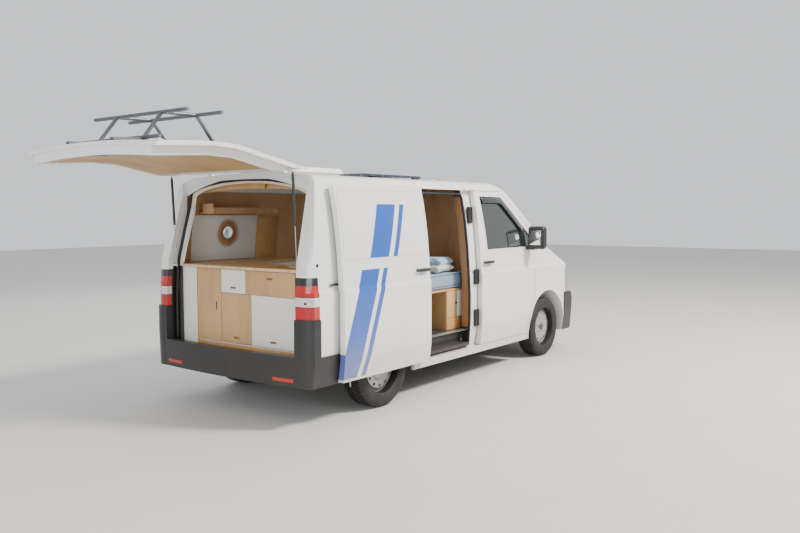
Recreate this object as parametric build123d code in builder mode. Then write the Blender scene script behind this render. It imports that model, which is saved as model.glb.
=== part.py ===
from build123d import *
import math
import os

os.makedirs("parts", exist_ok=True)

# Camper van, millimetres. X forward, Y to the van's left, Z up, floor at Z = 0.
# The origin is under the middle of the whole van with its tailgate raised.
# A station is a distance forward of the rear axle.

# Driving dimensions: chassis
rear_axle_x = -882
wheelbase = 3000
track = 1628
tyre_radius = 336
tyre_width = 205
rim_radius = 215
rim_width = 178
arch_radius = 425
house_inner = 600
house_skin = 8
king_pin_inset = 60

# Driving dimensions: body
body_half_width = 940
bumper_outset = 12
wall = 50
panel_gap = 5
seat_gap = 0.3
glass_gap = 0.4
body_bottom = 250
roof_top = 1990
load_floor = 495
floor_thickness = 55
roof_half_width = 720
roof_rear = -712
roof_front = 2340
waist = 1250
swage = 1060

# Driving dimensions: doors
door_top = 1868
door_bottom = 325
cab_door_rear = 1558
cab_door_front = 2700
cab_door_pillar = 1400
cab_door_top_front = 2095
slide_door_rear = 372
slide_door_width = 1180
slide_open = 993
slide_out = 74
pillar_rear = 1400
bulkhead_x = 2735
pillar_front = 1640
handle_z = 1152
handle_length = 172
handle_height = 27
handle_root = 905
handle_face = 958
groove_width = 6
groove_depth = 3
arch_lip_width = 20
arch_lip_proud = 7
track_groove_z = 1090
glass_inset = 6
glass_thickness = 5

# Driving dimensions: tailgate
tailgate_half_width = 775
tailgate_top_half = 750
tailgate_shoulder = 1840
tailgate_bottom = 575
tailgate_rim_inset = 62
tailgate_skin = 28
tailgate_depth = 95
tailgate_open = 86
lining_thickness = 10
lining_gap = 6
gate_roof_skin = 20
frame_thickness = 30
frame_half_width = 700
frame_top = 1905

# Driving dimensions: nose and tail fittings
bonnet_half_width = 768
bonnet_rear = 3035
bonnet_front_z = 985
bonnet_top_z = 1243
front_bumper_top = 700
front_bumper_rear = 3432
rear_bumper_top = 552
rear_bumper_bottom = 315
lamp_bottom = 845
lamp_top = 1110
lamp_cap_top = 1165
lamp_front = -825

# Driving dimensions: kitchen, columns of the front seen from behind
kitchen_face = -800
kitchen_depth = 365
kitchen_left = 735
kitchen_right = -655
kitchen_base = 558
kitchen_top = 1188
worktop_thickness = 24
board = 15
kitchen_gap = 5
side_unit_inner = 400
side_unit_front = 450

# Driving dimensions: bed
bed_top = 1075
mattress_thickness = 172
bed_board = 18
bed_rear = -370
bed_front = 1520
bed_right = -765
bed_left = 375
bed_box_rear = 1190

front_axle_x = rear_axle_x + wheelbase
wheel_y = track / 2


def at(station):
    """X of a point given by its distance forward of the rear axle."""
    return rear_axle_x + station


def save(part, name):
    """Label a finished piece and write it."""
    part.label = name
    export_step(part, f"parts/{name}.step")
    print(name, len(part.solids()), part.is_valid)


# Body sections seen from above.
# columns: height, tail x, nose x, nose bow, nose corner y, nose corner length
body_sections = [
    (body_bottom, -960, 3850, 95, 620, 330),
    (620, -973, 3883, 95, 640, 340),
    (1050, -968, 3680, 90, 720, 330),
    (1260, -945, 3200, 165, 800, 130),
    (1870, -785, 2330, 140, 780, 130),
    (2020, -745, 1960, 120, 760, 130),
]
tail_bow = 38
tail_corner_y = 800
tail_corner_length = 130
plan_half_width = 985


def add_corner(start, end, vertex):
    """Rounded corner of a plan outline that bulges towards the sharp corner it replaces."""
    mid_x = (start[0] + end[0]) / 2
    mid_y = (start[1] + end[1]) / 2
    bulge = 0.42
    middle = (mid_x + bulge * (vertex[0] - mid_x), mid_y + bulge * (vertex[1] - mid_y))
    ThreePointArc(start, middle, end)


def body_envelope(inset):
    """Solid outer form of the body, drawn in by inset all round."""
    half = body_half_width - inset
    low = body_bottom + inset
    top = roof_top - inset
    wide = plan_half_width - inset
    with BuildPart() as form:
        with BuildSketch(Plane.YZ.offset(at(-1100))):
            with BuildLine():
                right = Polyline(
                    (0, low),
                    (half - 30, low),
                    (half, 500),
                    (half, swage - 25),
                    (half - 12, swage + 5),
                    (half - 24, waist),
                )
                tumble = ThreePointArc(right @ 1, (half - 62, 1600), (half - 114, door_top + 5))
                corner = TangentArc(tumble @ 1, (half - 203, top - 34), tangent=tumble % 1)
                ThreePointArc(corner @ 1, ((half - 203) / 2, top - 8), (0, top))
                Line((0, top), (0, low))
            make_face()
            mirror(about=Plane.YZ)
        extrude(amount=5200)
        for height, tail, nose, bow, corner_y, corner_len in body_sections:
            level = height
            if height == body_bottom:
                level = height - 20
            back = at(tail) + inset
            front = at(nose) - inset * 1.2
            tail_y = tail_corner_y - inset
            nose_y = corner_y - inset
            back_side = back + tail_bow
            back_end = back_side + tail_corner_length
            front_side = front - bow
            front_end = front_side - corner_len
            with BuildSketch(Plane.XY.offset(level)):
                with BuildLine():
                    ThreePointArc((back_side, tail_y), (back, 0), (back_side, -tail_y))
                    add_corner((back_side, -tail_y), (back_end, -wide), (back_side, -wide))
                    Line((back_end, -wide), (front_end, -wide))
                    add_corner((front_end, -wide), (front_side, -nose_y), (front_side, -wide))
                    ThreePointArc((front_side, -nose_y), (front, 0), (front_side, nose_y))
                    add_corner((front_side, nose_y), (front_end, wide), (front_side, wide))
                    Line((front_end, wide), (back_end, wide))
                    add_corner((back_end, wide), (back_side, tail_y), (back_side, wide))
                make_face()
        loft(ruled=True, mode=Mode.INTERSECT)
    return form.part


def side_prism(points, y_from, y_to, gap=0):
    """Prism between two Y values, its outline given in X and Z and grown by a gap."""
    with BuildPart() as prism:
        with BuildSketch(Plane.XZ.offset(-y_to)):
            with BuildLine():
                Polyline(*points, close=True)
            make_face()
            if gap:
                offset(amount=gap, kind=Kind.INTERSECTION)
        extrude(amount=y_to - y_from)
    return prism.part


def block(x0, x1, y0, y1, z0, z1):
    """Box between two corners."""
    with BuildPart() as box:
        with BuildSketch(Plane.XY.offset(z0)):
            with Locations(((x0 + x1) / 2, (y0 + y1) / 2)):
                Rectangle(x1 - x0, y1 - y0)
        extrude(amount=z1 - z0)
    return box.part


def cross_prism(points, x_from, x_to):
    """Prism between two X values whose outline is given in Y and Z."""
    with BuildPart() as prism:
        with BuildSketch(Plane.YZ.offset(x_from)):
            with BuildLine():
                Polyline(*points, close=True)
            make_face()
        extrude(amount=x_to - x_from)
    return prism.part


def wheel_disc(x, radius, y_from, y_to):
    """Round bar along Y about a wheel's centre."""
    with BuildPart() as disc:
        with BuildSketch(Plane.XZ.offset(-y_to)):
            with Locations((x, tyre_radius)):
                Circle(radius)
        extrude(amount=y_to - y_from)
    return disc.part


def rear_outline(half, top_half, bottom, top, rise):
    """Outline of the tailgate or its opening, in Y and Z, as a prism along X."""
    shoulder = tailgate_shoulder
    with BuildPart() as prism:
        with BuildSketch(Plane.YZ.offset(at(-1100))):
            with BuildLine():
                Line((0, bottom), (-half, bottom))
                Line((-half, bottom), (-half, waist))
                Line((-half, waist), (-top_half, shoulder))
                ThreePointArc(
                    (-top_half, shoulder),
                    (-top_half + 18, top - 22),
                    (-top_half + 75, top),
                )
                ThreePointArc(
                    (-top_half + 75, top),
                    (-(top_half - 75) / 2, top + rise * 0.75),
                    (0, top + rise),
                )
                Line((0, top + rise), (0, bottom))
            make_face()
            mirror(about=Plane.YZ)
        extrude(amount=700)
    return prism.part


outer = body_envelope(0)
inner = body_envelope(wall)
bumper_form = body_envelope(-bumper_outset)
glass_outer = body_envelope(glass_inset)
glass_inner = body_envelope(glass_inset + glass_thickness)
lining_outer = body_envelope(wall + lining_gap)
lip_form = body_envelope(-arch_lip_proud)
groove_form = body_envelope(groove_depth)
lining_inner = body_envelope(wall + lining_gap + lining_thickness)
tail_form = outer & block(at(-1100), at(-500), -1200, 1200, 0, 2200)

# Cutting forms shared by several panels
far = 1200
tail_x = at(-1100)
hinge_x = at(roof_rear) - panel_gap / 2
hinge_z = roof_top + 4
roof_cut = block(at(-900), at(roof_front), -roof_half_width, roof_half_width, 1700, 2100)
gate_cut = rear_outline(
    tailgate_half_width + panel_gap, tailgate_top_half + panel_gap, 300, roof_top + 40, 40
)
gate_zone = gate_cut & block(tail_x, hinge_x + 2.5, -far, far, 0, 2200)
cab_door_outline = [
    (at(cab_door_rear), door_bottom),
    (at(cab_door_rear), door_top),
    (at(cab_door_top_front), door_top),
    (at(cab_door_front), cab_door_pillar),
    (at(cab_door_front), door_bottom),
]
slide_outline = [
    (at(slide_door_rear), door_bottom),
    (at(slide_door_rear), door_top),
    (at(slide_door_rear + slide_door_width), door_top),
    (at(slide_door_rear + slide_door_width), door_bottom),
]


cab_window_outline = [
    (at(1702), 1278),
    (at(1655), 1815),
    (at(2080), 1812),
    (at(2622), 1392),
    (at(2622), 1278),
]

with BuildPart() as shell_form:
    add(outer)
    add(inner, mode=Mode.SUBTRACT)
shell = shell_form.part
print("shell", shell.is_valid)

# Bottom trim: the shell's closed belly is left out between the sills
belly = block(at(-1100), at(4000), -790, 790, 200, 305)

# Windscreen opening, seen from the front
screen_bottom = 1288
screen_top = 1885
screen_half_bottom = 800
screen_half_top = 705


def screen_prism(gap):
    """Windscreen opening drawn in by a gap, as a prism along X."""
    with BuildPart() as prism:
        with BuildSketch(Plane.YZ.offset(at(2000))):
            with BuildLine():
                Polyline(
                    (-screen_half_bottom + gap, screen_bottom + gap),
                    (screen_half_bottom - gap, screen_bottom + gap),
                    (screen_half_top - gap, screen_top - gap),
                    (-screen_half_top + gap, screen_top - gap),
                    close=True,
                )
            make_face()
            fillet(vertices(), 45)
        extrude(amount=1500)
    return prism.part


def mirrored_range(side, near, reach):
    """Low and high Y of a band on one side of the van."""
    return min(side * near, side * reach), max(side * near, side * reach)


def shifted(part, distance):
    """Copy of a part moved forward."""
    return part.moved(Location((distance, 0, 0)))


def door_handle(station, side):
    """Bar handle of a door, with room for the fingers behind it."""
    low, high = mirrored_range(side, handle_root, handle_face)
    room_low, room_high = mirrored_range(side, handle_face - 22, handle_face - 10)
    with BuildPart() as handle:
        with BuildSketch(Plane.XZ.offset(-high)):
            with Locations((at(station), handle_z)):
                RectangleRounded(handle_length, handle_height, 12)
        extrude(amount=high - low)
        add(
            block(at(station - 52), at(station + 52), room_low, room_high, 1100, 1200),
            mode=Mode.SUBTRACT,
        )
    return handle.part


def blank_groove(station_from, station_to, side):
    """Stamped line round a panel that has no window, as a cutter."""
    low, high = mirrored_range(side, 640, far)
    outline = [
        (at(station_from), groove_low),
        (at(station_from), groove_high),
        (at(station_to), groove_high),
        (at(station_to), groove_low),
    ]
    ring = side_prism(outline, low, high) - side_prism(outline, low, high, -groove_width)
    return ring - groove_form


def arch_lip(x, side):
    """Rolled lip round a wheel arch, standing a little proud of the body."""
    low, high = mirrored_range(side, body_half_width - 40, far)
    ring = wheel_disc(x, arch_radius + arch_lip_width, low, high)
    return ring & lip_form & block(x - 500, x + 500, -far, far, body_bottom, 1000)


groove_low = waist + 34
groove_high = door_top - 30
screen_cut = screen_prism(0)
front_arch_clear = arch_radius + 60
house_low = -200

# Side walls, each with its wheel housing, centre pillar and sill
for side, name in ((1, "side_left"), (-1, "side_right")):
    zone_y = mirrored_range(side, roof_half_width, far)
    house_y = mirrored_range(side, house_inner, body_half_width - wall + 5)
    bore_y = mirrored_range(side, house_inner + house_skin, far)
    pillar = cross_prism(
        [
            (side * 800, body_bottom + wall),
            (side * 950, body_bottom + wall),
            (side * 950, door_top + 30),
            (side * 690, door_top + 30),
            (side * 800, waist),
        ],
        at(pillar_rear),
        at(pillar_front),
    )
    above_door = block(tail_x, at(3000), -far, far, door_top + panel_gap, 2000)
    below_door = block(tail_x, at(3000), -far, far, 200, door_bottom - panel_gap)
    with BuildPart() as side_wall:
        add(shell)
        add(block(tail_x, at(cab_door_front + panel_gap), *zone_y, 0, 2200), mode=Mode.INTERSECT)
        add(arch_lip(at(0), side))
        add(roof_cut, mode=Mode.SUBTRACT)
        add(gate_zone, mode=Mode.SUBTRACT)
        add(belly, mode=Mode.SUBTRACT)
        add(screen_cut, mode=Mode.SUBTRACT)
        add(side_prism(cab_door_outline, *zone_y, panel_gap), mode=Mode.SUBTRACT)
        if side < 0:
            add(side_prism(slide_outline, *zone_y, panel_gap), mode=Mode.SUBTRACT)
        # The rear corner is covered by bumper and lamps
        add(
            block(tail_x, at(lamp_front), *zone_y, rear_bumper_top, lamp_cap_top),
            mode=Mode.SUBTRACT,
        )
        add(block(tail_x, at(0), *zone_y, 200, rear_bumper_top), mode=Mode.SUBTRACT)
        add(wheel_disc(at(0), arch_radius, *zone_y), mode=Mode.SUBTRACT)
        add(wheel_disc(front_axle_x, front_arch_clear, *zone_y), mode=Mode.SUBTRACT)
        # Wheel housing
        add(wheel_disc(at(0), arch_radius + house_skin, *house_y))
        add(wheel_disc(at(0), arch_radius, *bore_y), mode=Mode.SUBTRACT)
        add(
            block(at(-700), at(700), *mirrored_range(side, 590, 800), house_low, 430),
            mode=Mode.SUBTRACT,
        )
        add(
            block(at(-700), at(700), *mirrored_range(side, 590, 889), house_low, 300),
            mode=Mode.SUBTRACT,
        )
        add(block(at(-700), at(700), -far, far, house_low, body_bottom), mode=Mode.SUBTRACT)
        # Stamped lines of the panels, and the middle track of the sliding door
        add(blank_groove(-640, slide_door_rear - 30, side), mode=Mode.SUBTRACT)
        if side > 0:
            add(blank_groove(slide_door_rear + 30, pillar_rear + 110, side), mode=Mode.SUBTRACT)
        else:
            track_z = (track_groove_z - 6, track_groove_z + 6)
            add(
                block(at(-700), at(slide_door_rear - 12), -far, -918, *track_z),
                mode=Mode.SUBTRACT,
            )
        # Centre pillar behind the doors' meeting edges
        add(pillar & lining_outer)
        add(pillar & inner & above_door)
        add(pillar & inner & below_door)
    save(side_wall.part, name)

# Tailgate hinges: barrels on the hinge line, each on a foot
gate_hinge_y = (400, 430, 460)


def gate_hinges(inner_y, outer_y, foot_from, foot_to):
    """Barrels and feet of the two tailgate hinges between two distances from the middle."""
    with BuildPart() as barrels:
        for side in (1, -1):
            span = mirrored_range(side, inner_y, outer_y)
            with BuildSketch(Plane.XZ.offset(-span[1])):
                with Locations((hinge_x, hinge_z)):
                    Circle(8)
            extrude(amount=span[1] - span[0])
            add(block(hinge_x + foot_from, hinge_x + foot_to, *span, roof_top - 24, hinge_z))
    return barrels.part


# Roof skin with its rack fixings and the raised rim of the hatch
hatch_rear = -520
hatch_front = 190
hatch_half = 250
hatch_rim = 22
rack_stations = (1050, 1630)
rack_y = 690
rack_boss_radius = 13
rack_hole_radius = 4
rack_boss_height = 9
roof_boss_base = roof_top - 42
with BuildPart() as roof:
    add(shell)
    add(roof_cut, mode=Mode.INTERSECT)
    add(gate_zone, mode=Mode.SUBTRACT)
    add(screen_cut, mode=Mode.SUBTRACT)
    with BuildSketch(Plane.XY.offset(roof_top - 70)):
        with Locations((at((hatch_rear + hatch_front) / 2), 0)):
            RectangleRounded(
                hatch_front - hatch_rear + 2 * hatch_rim, 2 * (hatch_half + hatch_rim), 50
            )
    extrude(amount=88)
    with BuildSketch(Plane.XY.offset(roof_top - 120)):
        with Locations((at((hatch_rear + hatch_front) / 2), 0)):
            RectangleRounded(hatch_front - hatch_rear, 2 * hatch_half, 40)
    extrude(amount=200, mode=Mode.SUBTRACT)
    for station in rack_stations:
        for side in (1, -1):
            with BuildSketch(Plane.XY.offset(roof_boss_base)):
                with Locations((at(station), side * rack_y)):
                    Circle(rack_boss_radius)
            extrude(amount=roof_top - 24 + rack_boss_height - roof_boss_base)
            with BuildSketch(Plane.XY.offset(roof_boss_base - 2)):
                with Locations((at(station), side * rack_y)):
                    Circle(rack_hole_radius)
            extrude(amount=90, mode=Mode.SUBTRACT)
    add(gate_hinges(gate_hinge_y[1] + seat_gap, gate_hinge_y[2], 4, 40))
save(roof.part, "roof")

# Hatch lid, a low dome that overhangs its rim
hatch_lid_base = roof_top + 18 + seat_gap
hatch_lid_height = 42
with BuildPart() as hatch:
    with BuildSketch(Plane.XY.offset(hatch_lid_base)):
        with Locations((at((hatch_rear + hatch_front) / 2), 0)):
            RectangleRounded(
                hatch_front - hatch_rear + 4 * hatch_rim, 2 * (hatch_half + 2 * hatch_rim), 60
            )
    extrude(amount=hatch_lid_height, taper=24)
    fillet(hatch.faces().sort_by(Axis.Z)[-1].edges(), 12)
save(hatch.part, "roof_hatch")

# Solar panel lying on four feet
solar_rear = 420
solar_front = 1360
solar_half = 330
solar_thickness = 22
solar_base = roof_top + 8
with BuildPart() as solar:
    with BuildSketch(Plane.XY.offset(solar_base)):
        with Locations((at((solar_rear + solar_front) / 2), 0)):
            Rectangle(solar_front - solar_rear, 2 * solar_half)
    extrude(amount=solar_thickness)
    with BuildSketch(Plane.XY.offset(roof_top - 14)):
        with Locations((at((solar_rear + solar_front) / 2), 0)):
            with GridLocations(solar_front - solar_rear - 120, 2 * solar_half - 60, 2, 2):
                Rectangle(90, 40)
    extrude(amount=solar_base - roof_top + 16)
    add(outer, mode=Mode.SUBTRACT)
save(solar.part, "solar_panel")

# Frame round the tailgate opening, with the gutters that the gas struts lie in
opening_bottom = load_floor + 2
seal_depth = tailgate_depth + 8
with BuildPart() as rear_frame:
    add(shifted(tail_form, seal_depth))
    add(shifted(tail_form, seal_depth + frame_thickness), mode=Mode.SUBTRACT)
    add(inner, mode=Mode.INTERSECT)
    add(
        rear_outline(1000, 900, load_floor - floor_thickness, 1960, 40), mode=Mode.INTERSECT
    )
    add(
        rear_outline(frame_half_width + 25, frame_half_width - 15, opening_bottom, frame_top, 26),
        mode=Mode.SUBTRACT,
    )
    add(block(at(-690), at(0), -far, far, 1700, 2200), mode=Mode.SUBTRACT)
gutter_top = 1795
with BuildPart() as gutter:
    add(shifted(tail_form, wall - 4))
    add(shifted(tail_form, seal_depth + frame_thickness / 2), mode=Mode.SUBTRACT)
    add(
        rear_outline(
            tailgate_half_width + 22, tailgate_top_half + 22, rear_bumper_top, 1935, 30
        ),
        mode=Mode.INTERSECT,
    )
    add(
        rear_outline(
            tailgate_half_width + 8, tailgate_top_half + 8, rear_bumper_top - 5, 1921, 30
        ),
        mode=Mode.SUBTRACT,
    )
    add(inner, mode=Mode.INTERSECT)
    add(block(tail_x, hinge_x + 2.5, -far, far, 0, gutter_top), mode=Mode.INTERSECT)
strut_y = 736
rod_pin = (at(-858), 1200)
with BuildPart() as rear_surround:
    add(rear_frame.part)
    add(gutter.part)
    for side in (1, -1):
        with BuildSketch(Plane.XZ.offset(-mirrored_range(side, strut_y + 8.3, 786)[1])):
            with Locations(rod_pin):
                Circle(8)
        extrude(amount=786 - strut_y - 8.3)
    add(inner, mode=Mode.INTERSECT)
save(rear_surround.part, "rear_frame")

# Floor pan with chassis rails and the step well of the side doorway
ahead_of_tail = block(at(-600), at(4000), -far, far, 0, 900)
rail_rear = -200
door_clear_y = 875
with BuildPart() as floor:
    with BuildSketch(Plane.XY.offset(load_floor - floor_thickness)):
        with BuildLine():
            Polyline(
                (at(-870), -889.5),
                (at(2560), -889.5),
                (at(2560), -470),
                (at(bulkhead_x), -470),
                (at(bulkhead_x), 470),
                (at(2560), 470),
                (at(2560), 889.5),
                (at(-870), 889.5),
                close=True,
            )
        make_face()
    extrude(amount=floor_thickness)
    for side in (1, -1):
        with BuildSketch(Plane.XY.offset(load_floor - floor_thickness - 80)):
            with Locations((at((rail_rear + bulkhead_x) / 2), side * 430)):
                Rectangle(bulkhead_x - rail_rear, 70)
        extrude(amount=80)
        add(
            wheel_disc(at(0), arch_radius + house_skin + 1, *mirrored_range(side, 598, far)),
            mode=Mode.SUBTRACT,
        )
        add(
            wheel_disc(front_axle_x, arch_radius + house_skin + 1, *mirrored_range(side, 478, far)),
            mode=Mode.SUBTRACT,
        )
        add(
            block(at(pillar_rear - 1), at(pillar_front + 1), *mirrored_range(side, 789, far), 0, 900),
            mode=Mode.SUBTRACT,
        )
    add(shifted(tail_form, seal_depth + frame_thickness) + ahead_of_tail, mode=Mode.INTERSECT)
    add(inner, mode=Mode.INTERSECT)
    for side in (1, -1):
        add(
            block(at(1550), at(2600), *mirrored_range(side, door_clear_y, far), 0, 900),
            mode=Mode.SUBTRACT,
        )
    add(
        block(at(slide_door_rear + 20), at(pillar_rear), -far, -780, 0, 900), mode=Mode.SUBTRACT
    )
    add(
        block(at(slide_door_rear + 20), at(pillar_rear - 1), -889, -755, 340, 372)
        + block(at(slide_door_rear + 20), at(pillar_rear - 1), -780, -755, 340, load_floor)
        - wheel_disc(at(0), arch_radius + house_skin + 1, -far, -598)
    )
save(floor.part, "floor")

# Front structure: screen surround, cowl, bulkhead, inner wings, radiator panel and wheel housings
cowl_z = 1215
cowl_front = bonnet_rear - 8
bulkhead_thickness = 25
rail_y = 400
front_house_inner = 480
radiator_x = 3560
with BuildPart() as front_body:
    add(shell)
    add(
        block(at(roof_front), at(3500), -far, far, bonnet_top_z + panel_gap, 2100)
        - block(at(roof_front) - 10, at(cab_door_front + panel_gap), roof_half_width, far, 0, 2100)
        - block(at(roof_front) - 10, at(cab_door_front + panel_gap), -far, -roof_half_width, 0, 2100),
        mode=Mode.INTERSECT,
    )
    add(screen_cut, mode=Mode.SUBTRACT)
    # Cowl shelf under the screen, and the bulkhead below it
    add(
        block(at(bulkhead_x), at(3150), -far, far, cowl_z, bonnet_top_z + panel_gap + 4)
        & inner
        & block(at(0), at(cowl_front), -far, far, 0, 2000)
    )
    add(
        block(
            at(bulkhead_x),
            at(bulkhead_x + bulkhead_thickness),
            -820,
            820,
            load_floor - floor_thickness,
            cowl_z,
        )
    )
    for side in (1, -1):
        add(
            wheel_disc(front_axle_x, arch_radius, *mirrored_range(side, front_house_inner, far)),
            mode=Mode.SUBTRACT,
        )
        add(block(at(bulkhead_x), at(radiator_x), *mirrored_range(side, 452, 480), 420, 900))
        add(block(at(bulkhead_x), at(radiator_x + 60), *mirrored_range(side, 395, 465), 360, 440))
        house_y = mirrored_range(side, front_house_inner, body_half_width - wall + 5)
        bore_y = mirrored_range(side, front_house_inner + house_skin, far)
        low_y = mirrored_range(side, front_house_inner - 20, 800)
        add(
            wheel_disc(front_axle_x, arch_radius + house_skin, *house_y)
            - wheel_disc(front_axle_x, arch_radius, *bore_y)
            - block(at(2000), at(4000), *low_y, house_low, 430)
            - block(at(2000), at(4000), -far, far, house_low, 300)
        )
    add(block(at(radiator_x), at(radiator_x + 25), -480, 480, 380, 900))
save(front_body.part, "front_body")

# Cab door hinges: barrels shared by door and wing, one above the other
door_hinge_x = at(cab_door_front + panel_gap / 2)
door_hinge_y = body_half_width + 3
door_hinge_levels = (760, 970)
barrel_radius = 7
barrel_length = 30
barrel_clearance = 0.8


def hinge_barrels(side, upper, radius):
    """The upper or lower barrels of one cab door's two hinges."""
    with BuildPart() as barrels:
        for level in door_hinge_levels:
            base = level + (barrel_length + seat_gap if upper else 0)
            with BuildSketch(Plane.XY.offset(base)):
                with Locations((door_hinge_x, side * door_hinge_y)):
                    Circle(radius)
            extrude(amount=barrel_length)
    return barrels.part


# Wings
head_lamp_rear = front_bumper_rear + 30
nose_panel_top = bonnet_front_z - panel_gap
wing_pieces = []
for side in (1, -1):
    wing_y = mirrored_range(side, bonnet_half_width + panel_gap, far)
    rear_lip = wheel_disc(front_axle_x, front_arch_clear - panel_gap, *wing_y)
    ahead = block(at(cab_door_front + panel_gap), at(4000), *wing_y, 200, bonnet_top_z)
    with BuildPart() as wing:
        add(shell)
        add(ahead + (rear_lip & block(at(2000), at(3000), -far, far, 200, 1000)), mode=Mode.INTERSECT)
        add(arch_lip(front_axle_x, side))
        add(
            block(at(front_bumper_rear), at(4000), -far, far, 200, front_bumper_top + panel_gap),
            mode=Mode.SUBTRACT,
        )
        add(
            block(at(head_lamp_rear - panel_gap), at(4000), -far, far, 600, bonnet_front_z),
            mode=Mode.SUBTRACT,
        )
        add(
            wheel_disc(front_axle_x, arch_radius, *mirrored_range(side, 700, far)),
            mode=Mode.SUBTRACT,
        )
        add(belly, mode=Mode.SUBTRACT)
        add(front_body.part, mode=Mode.SUBTRACT)
        add(hinge_barrels(side, False, barrel_radius + barrel_clearance), mode=Mode.SUBTRACT)
        add(hinge_barrels(side, True, barrel_radius))
    wing_pieces.append(wing.part)
with BuildPart() as wings:
    for piece in wing_pieces:
        add(piece)
save(wings.part, "wings")

# Bonnet, hinged at its rear corners by goosenecks. Its rear edge follows the screen's foot,
# whose plan is taken from the body just above the bonnet.
foot_slice = outer & block(at(2000), at(4000), -far, far, bonnet_top_z + panel_gap, bonnet_top_z + 9)
foot_plan = extrude(foot_slice.faces().sort_by(Axis.Z)[0], amount=110, dir=(0, 0, -1))
screen_foot = foot_plan.moved(Location((panel_gap + 3, 0, 3)))
# columns: distance ahead of the hinge line, height above it
gooseneck = [
    (-7.7, -45),
    (-7.7, -15),
    (10, -15),
    (38, -52),
    (62, -82),
    (84, -28),
    (130, -38),
    (112, -100),
    (55, -108),
    (20, -60),
    (5, -45),
]
bonnet_hinge_z = bonnet_top_z + 2
with BuildPart() as bonnet:
    add(shell)
    add(
        block(
            at(bonnet_rear),
            at(4000),
            -bonnet_half_width,
            bonnet_half_width,
            bonnet_front_z,
            bonnet_top_z,
        ),
        mode=Mode.INTERSECT,
    )
    add(front_body.part, mode=Mode.SUBTRACT)
    add(screen_foot, mode=Mode.SUBTRACT)
    neck = [(at(bonnet_rear) + ahead, bonnet_hinge_z + above) for ahead, above in gooseneck]
    for side in (1, -1):
        add(side_prism(neck, *mirrored_range(side, 685, 715)))
save(bonnet.part, "bonnet")

# Bumpers, slightly proud of the body
grille_half = 420
head_lamp_inner = 428
intake_half = 400
with BuildPart() as front_bumper:
    add(bumper_form)
    add(inner, mode=Mode.SUBTRACT)
    add(
        block(at(front_bumper_rear), at(4100), -far, far, body_bottom, front_bumper_top),
        mode=Mode.INTERSECT,
    )
    add(wheel_disc(front_axle_x, arch_radius, -far, far), mode=Mode.SUBTRACT)
    add(front_body.part, mode=Mode.SUBTRACT)
    add(block(at(3400), at(4000), -760, 760, 200, body_bottom + wall + 2), mode=Mode.SUBTRACT)
    with BuildSketch(Plane.YZ.offset(at(3600))):
        with Locations((0, 440)):
            RectangleRounded(2 * intake_half, 150, 30)
    extrude(amount=400, mode=Mode.SUBTRACT)
    add(
        (bumper_form - inner)
        & (
            block(at(3600), at(3900), -intake_half - 5, intake_half + 5, 405, 421)
            + block(at(3600), at(3900), -intake_half - 5, intake_half + 5, 459, 475)
        )
    )
save(front_bumper.part, "front_bumper")

with BuildPart() as rear_bumper:
    add(bumper_form)
    add(inner, mode=Mode.SUBTRACT)
    corners = block(tail_x, at(lamp_front), -far, far, rear_bumper_bottom, lamp_bottom - 2)
    corners = corners - block(tail_x, at(0), -782, 782, rear_bumper_top, 1000)
    band = block(tail_x, at(0), -far, far, rear_bumper_bottom, rear_bumper_top)
    add(corners + band, mode=Mode.INTERSECT)
    add(wheel_disc(at(0), arch_radius, -far, far), mode=Mode.SUBTRACT)
    add(wheel_disc(at(0), arch_radius + house_skin + 0.5, -896, 896), mode=Mode.SUBTRACT)
    add(gutter.part, mode=Mode.SUBTRACT)
save(rear_bumper.part, "rear_bumper")

# Grille: a frame with slats
slat_pitch = 58
slat_height = 20
with BuildPart() as grille:
    add(outer)
    add(inner, mode=Mode.SUBTRACT)
    slats = block(at(3500), at(3900), -grille_half, grille_half, front_bumper_top + 4, 722)
    slat_z = front_bumper_top + 4
    for row in range(5):
        slats = slats + block(
            at(3500),
            at(3900),
            -grille_half,
            grille_half,
            slat_z + row * slat_pitch,
            slat_z + row * slat_pitch + slat_height,
        )
    for edge in (-grille_half, -9, grille_half - 18):
        slats = slats + block(
            at(3500), at(3900), edge, edge + 18, slat_z, slat_z + 4 * slat_pitch + slat_height
        )
    add(slats, mode=Mode.INTERSECT)
    for side in (1, -1):
        foot_y = mirrored_range(side, 180, 220)
        add(block(at(3785), at(3815), *foot_y, front_bumper_top + seat_gap, front_bumper_top + 8))
save(grille.part, "grille")

# Lamps
with BuildPart() as head_lamps:
    add(outer)
    add(inner, mode=Mode.SUBTRACT)
    add(
        block(at(head_lamp_rear), at(3900), -far, far, front_bumper_top + 4, nose_panel_top)
        - block(at(3300), at(3900), -head_lamp_inner, head_lamp_inner, 600, 1100),
        mode=Mode.INTERSECT,
    )
    for side in (1, -1):
        foot_y = mirrored_range(side, 560, 600)
        add(block(at(3715), at(3745), *foot_y, front_bumper_top + seat_gap, front_bumper_top + 8))
save(head_lamps.part, "head_lamps")

with BuildPart() as tail_lamps:
    add(outer)
    add(inner, mode=Mode.SUBTRACT)
    add(
        block(tail_x, at(lamp_front) - 2, -far, far, lamp_bottom, lamp_cap_top - 2)
        - block(tail_x, at(0), -784, 784, 600, 1300),
        mode=Mode.INTERSECT,
    )
    add(gutter.part, mode=Mode.SUBTRACT)
save(tail_lamps.part, "tail_lamps")

# Windscreen
with BuildPart() as windscreen:
    add(glass_outer)
    add(glass_inner, mode=Mode.SUBTRACT)
    add(screen_prism(glass_gap), mode=Mode.INTERSECT)
save(windscreen.part, "windscreen")

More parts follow.
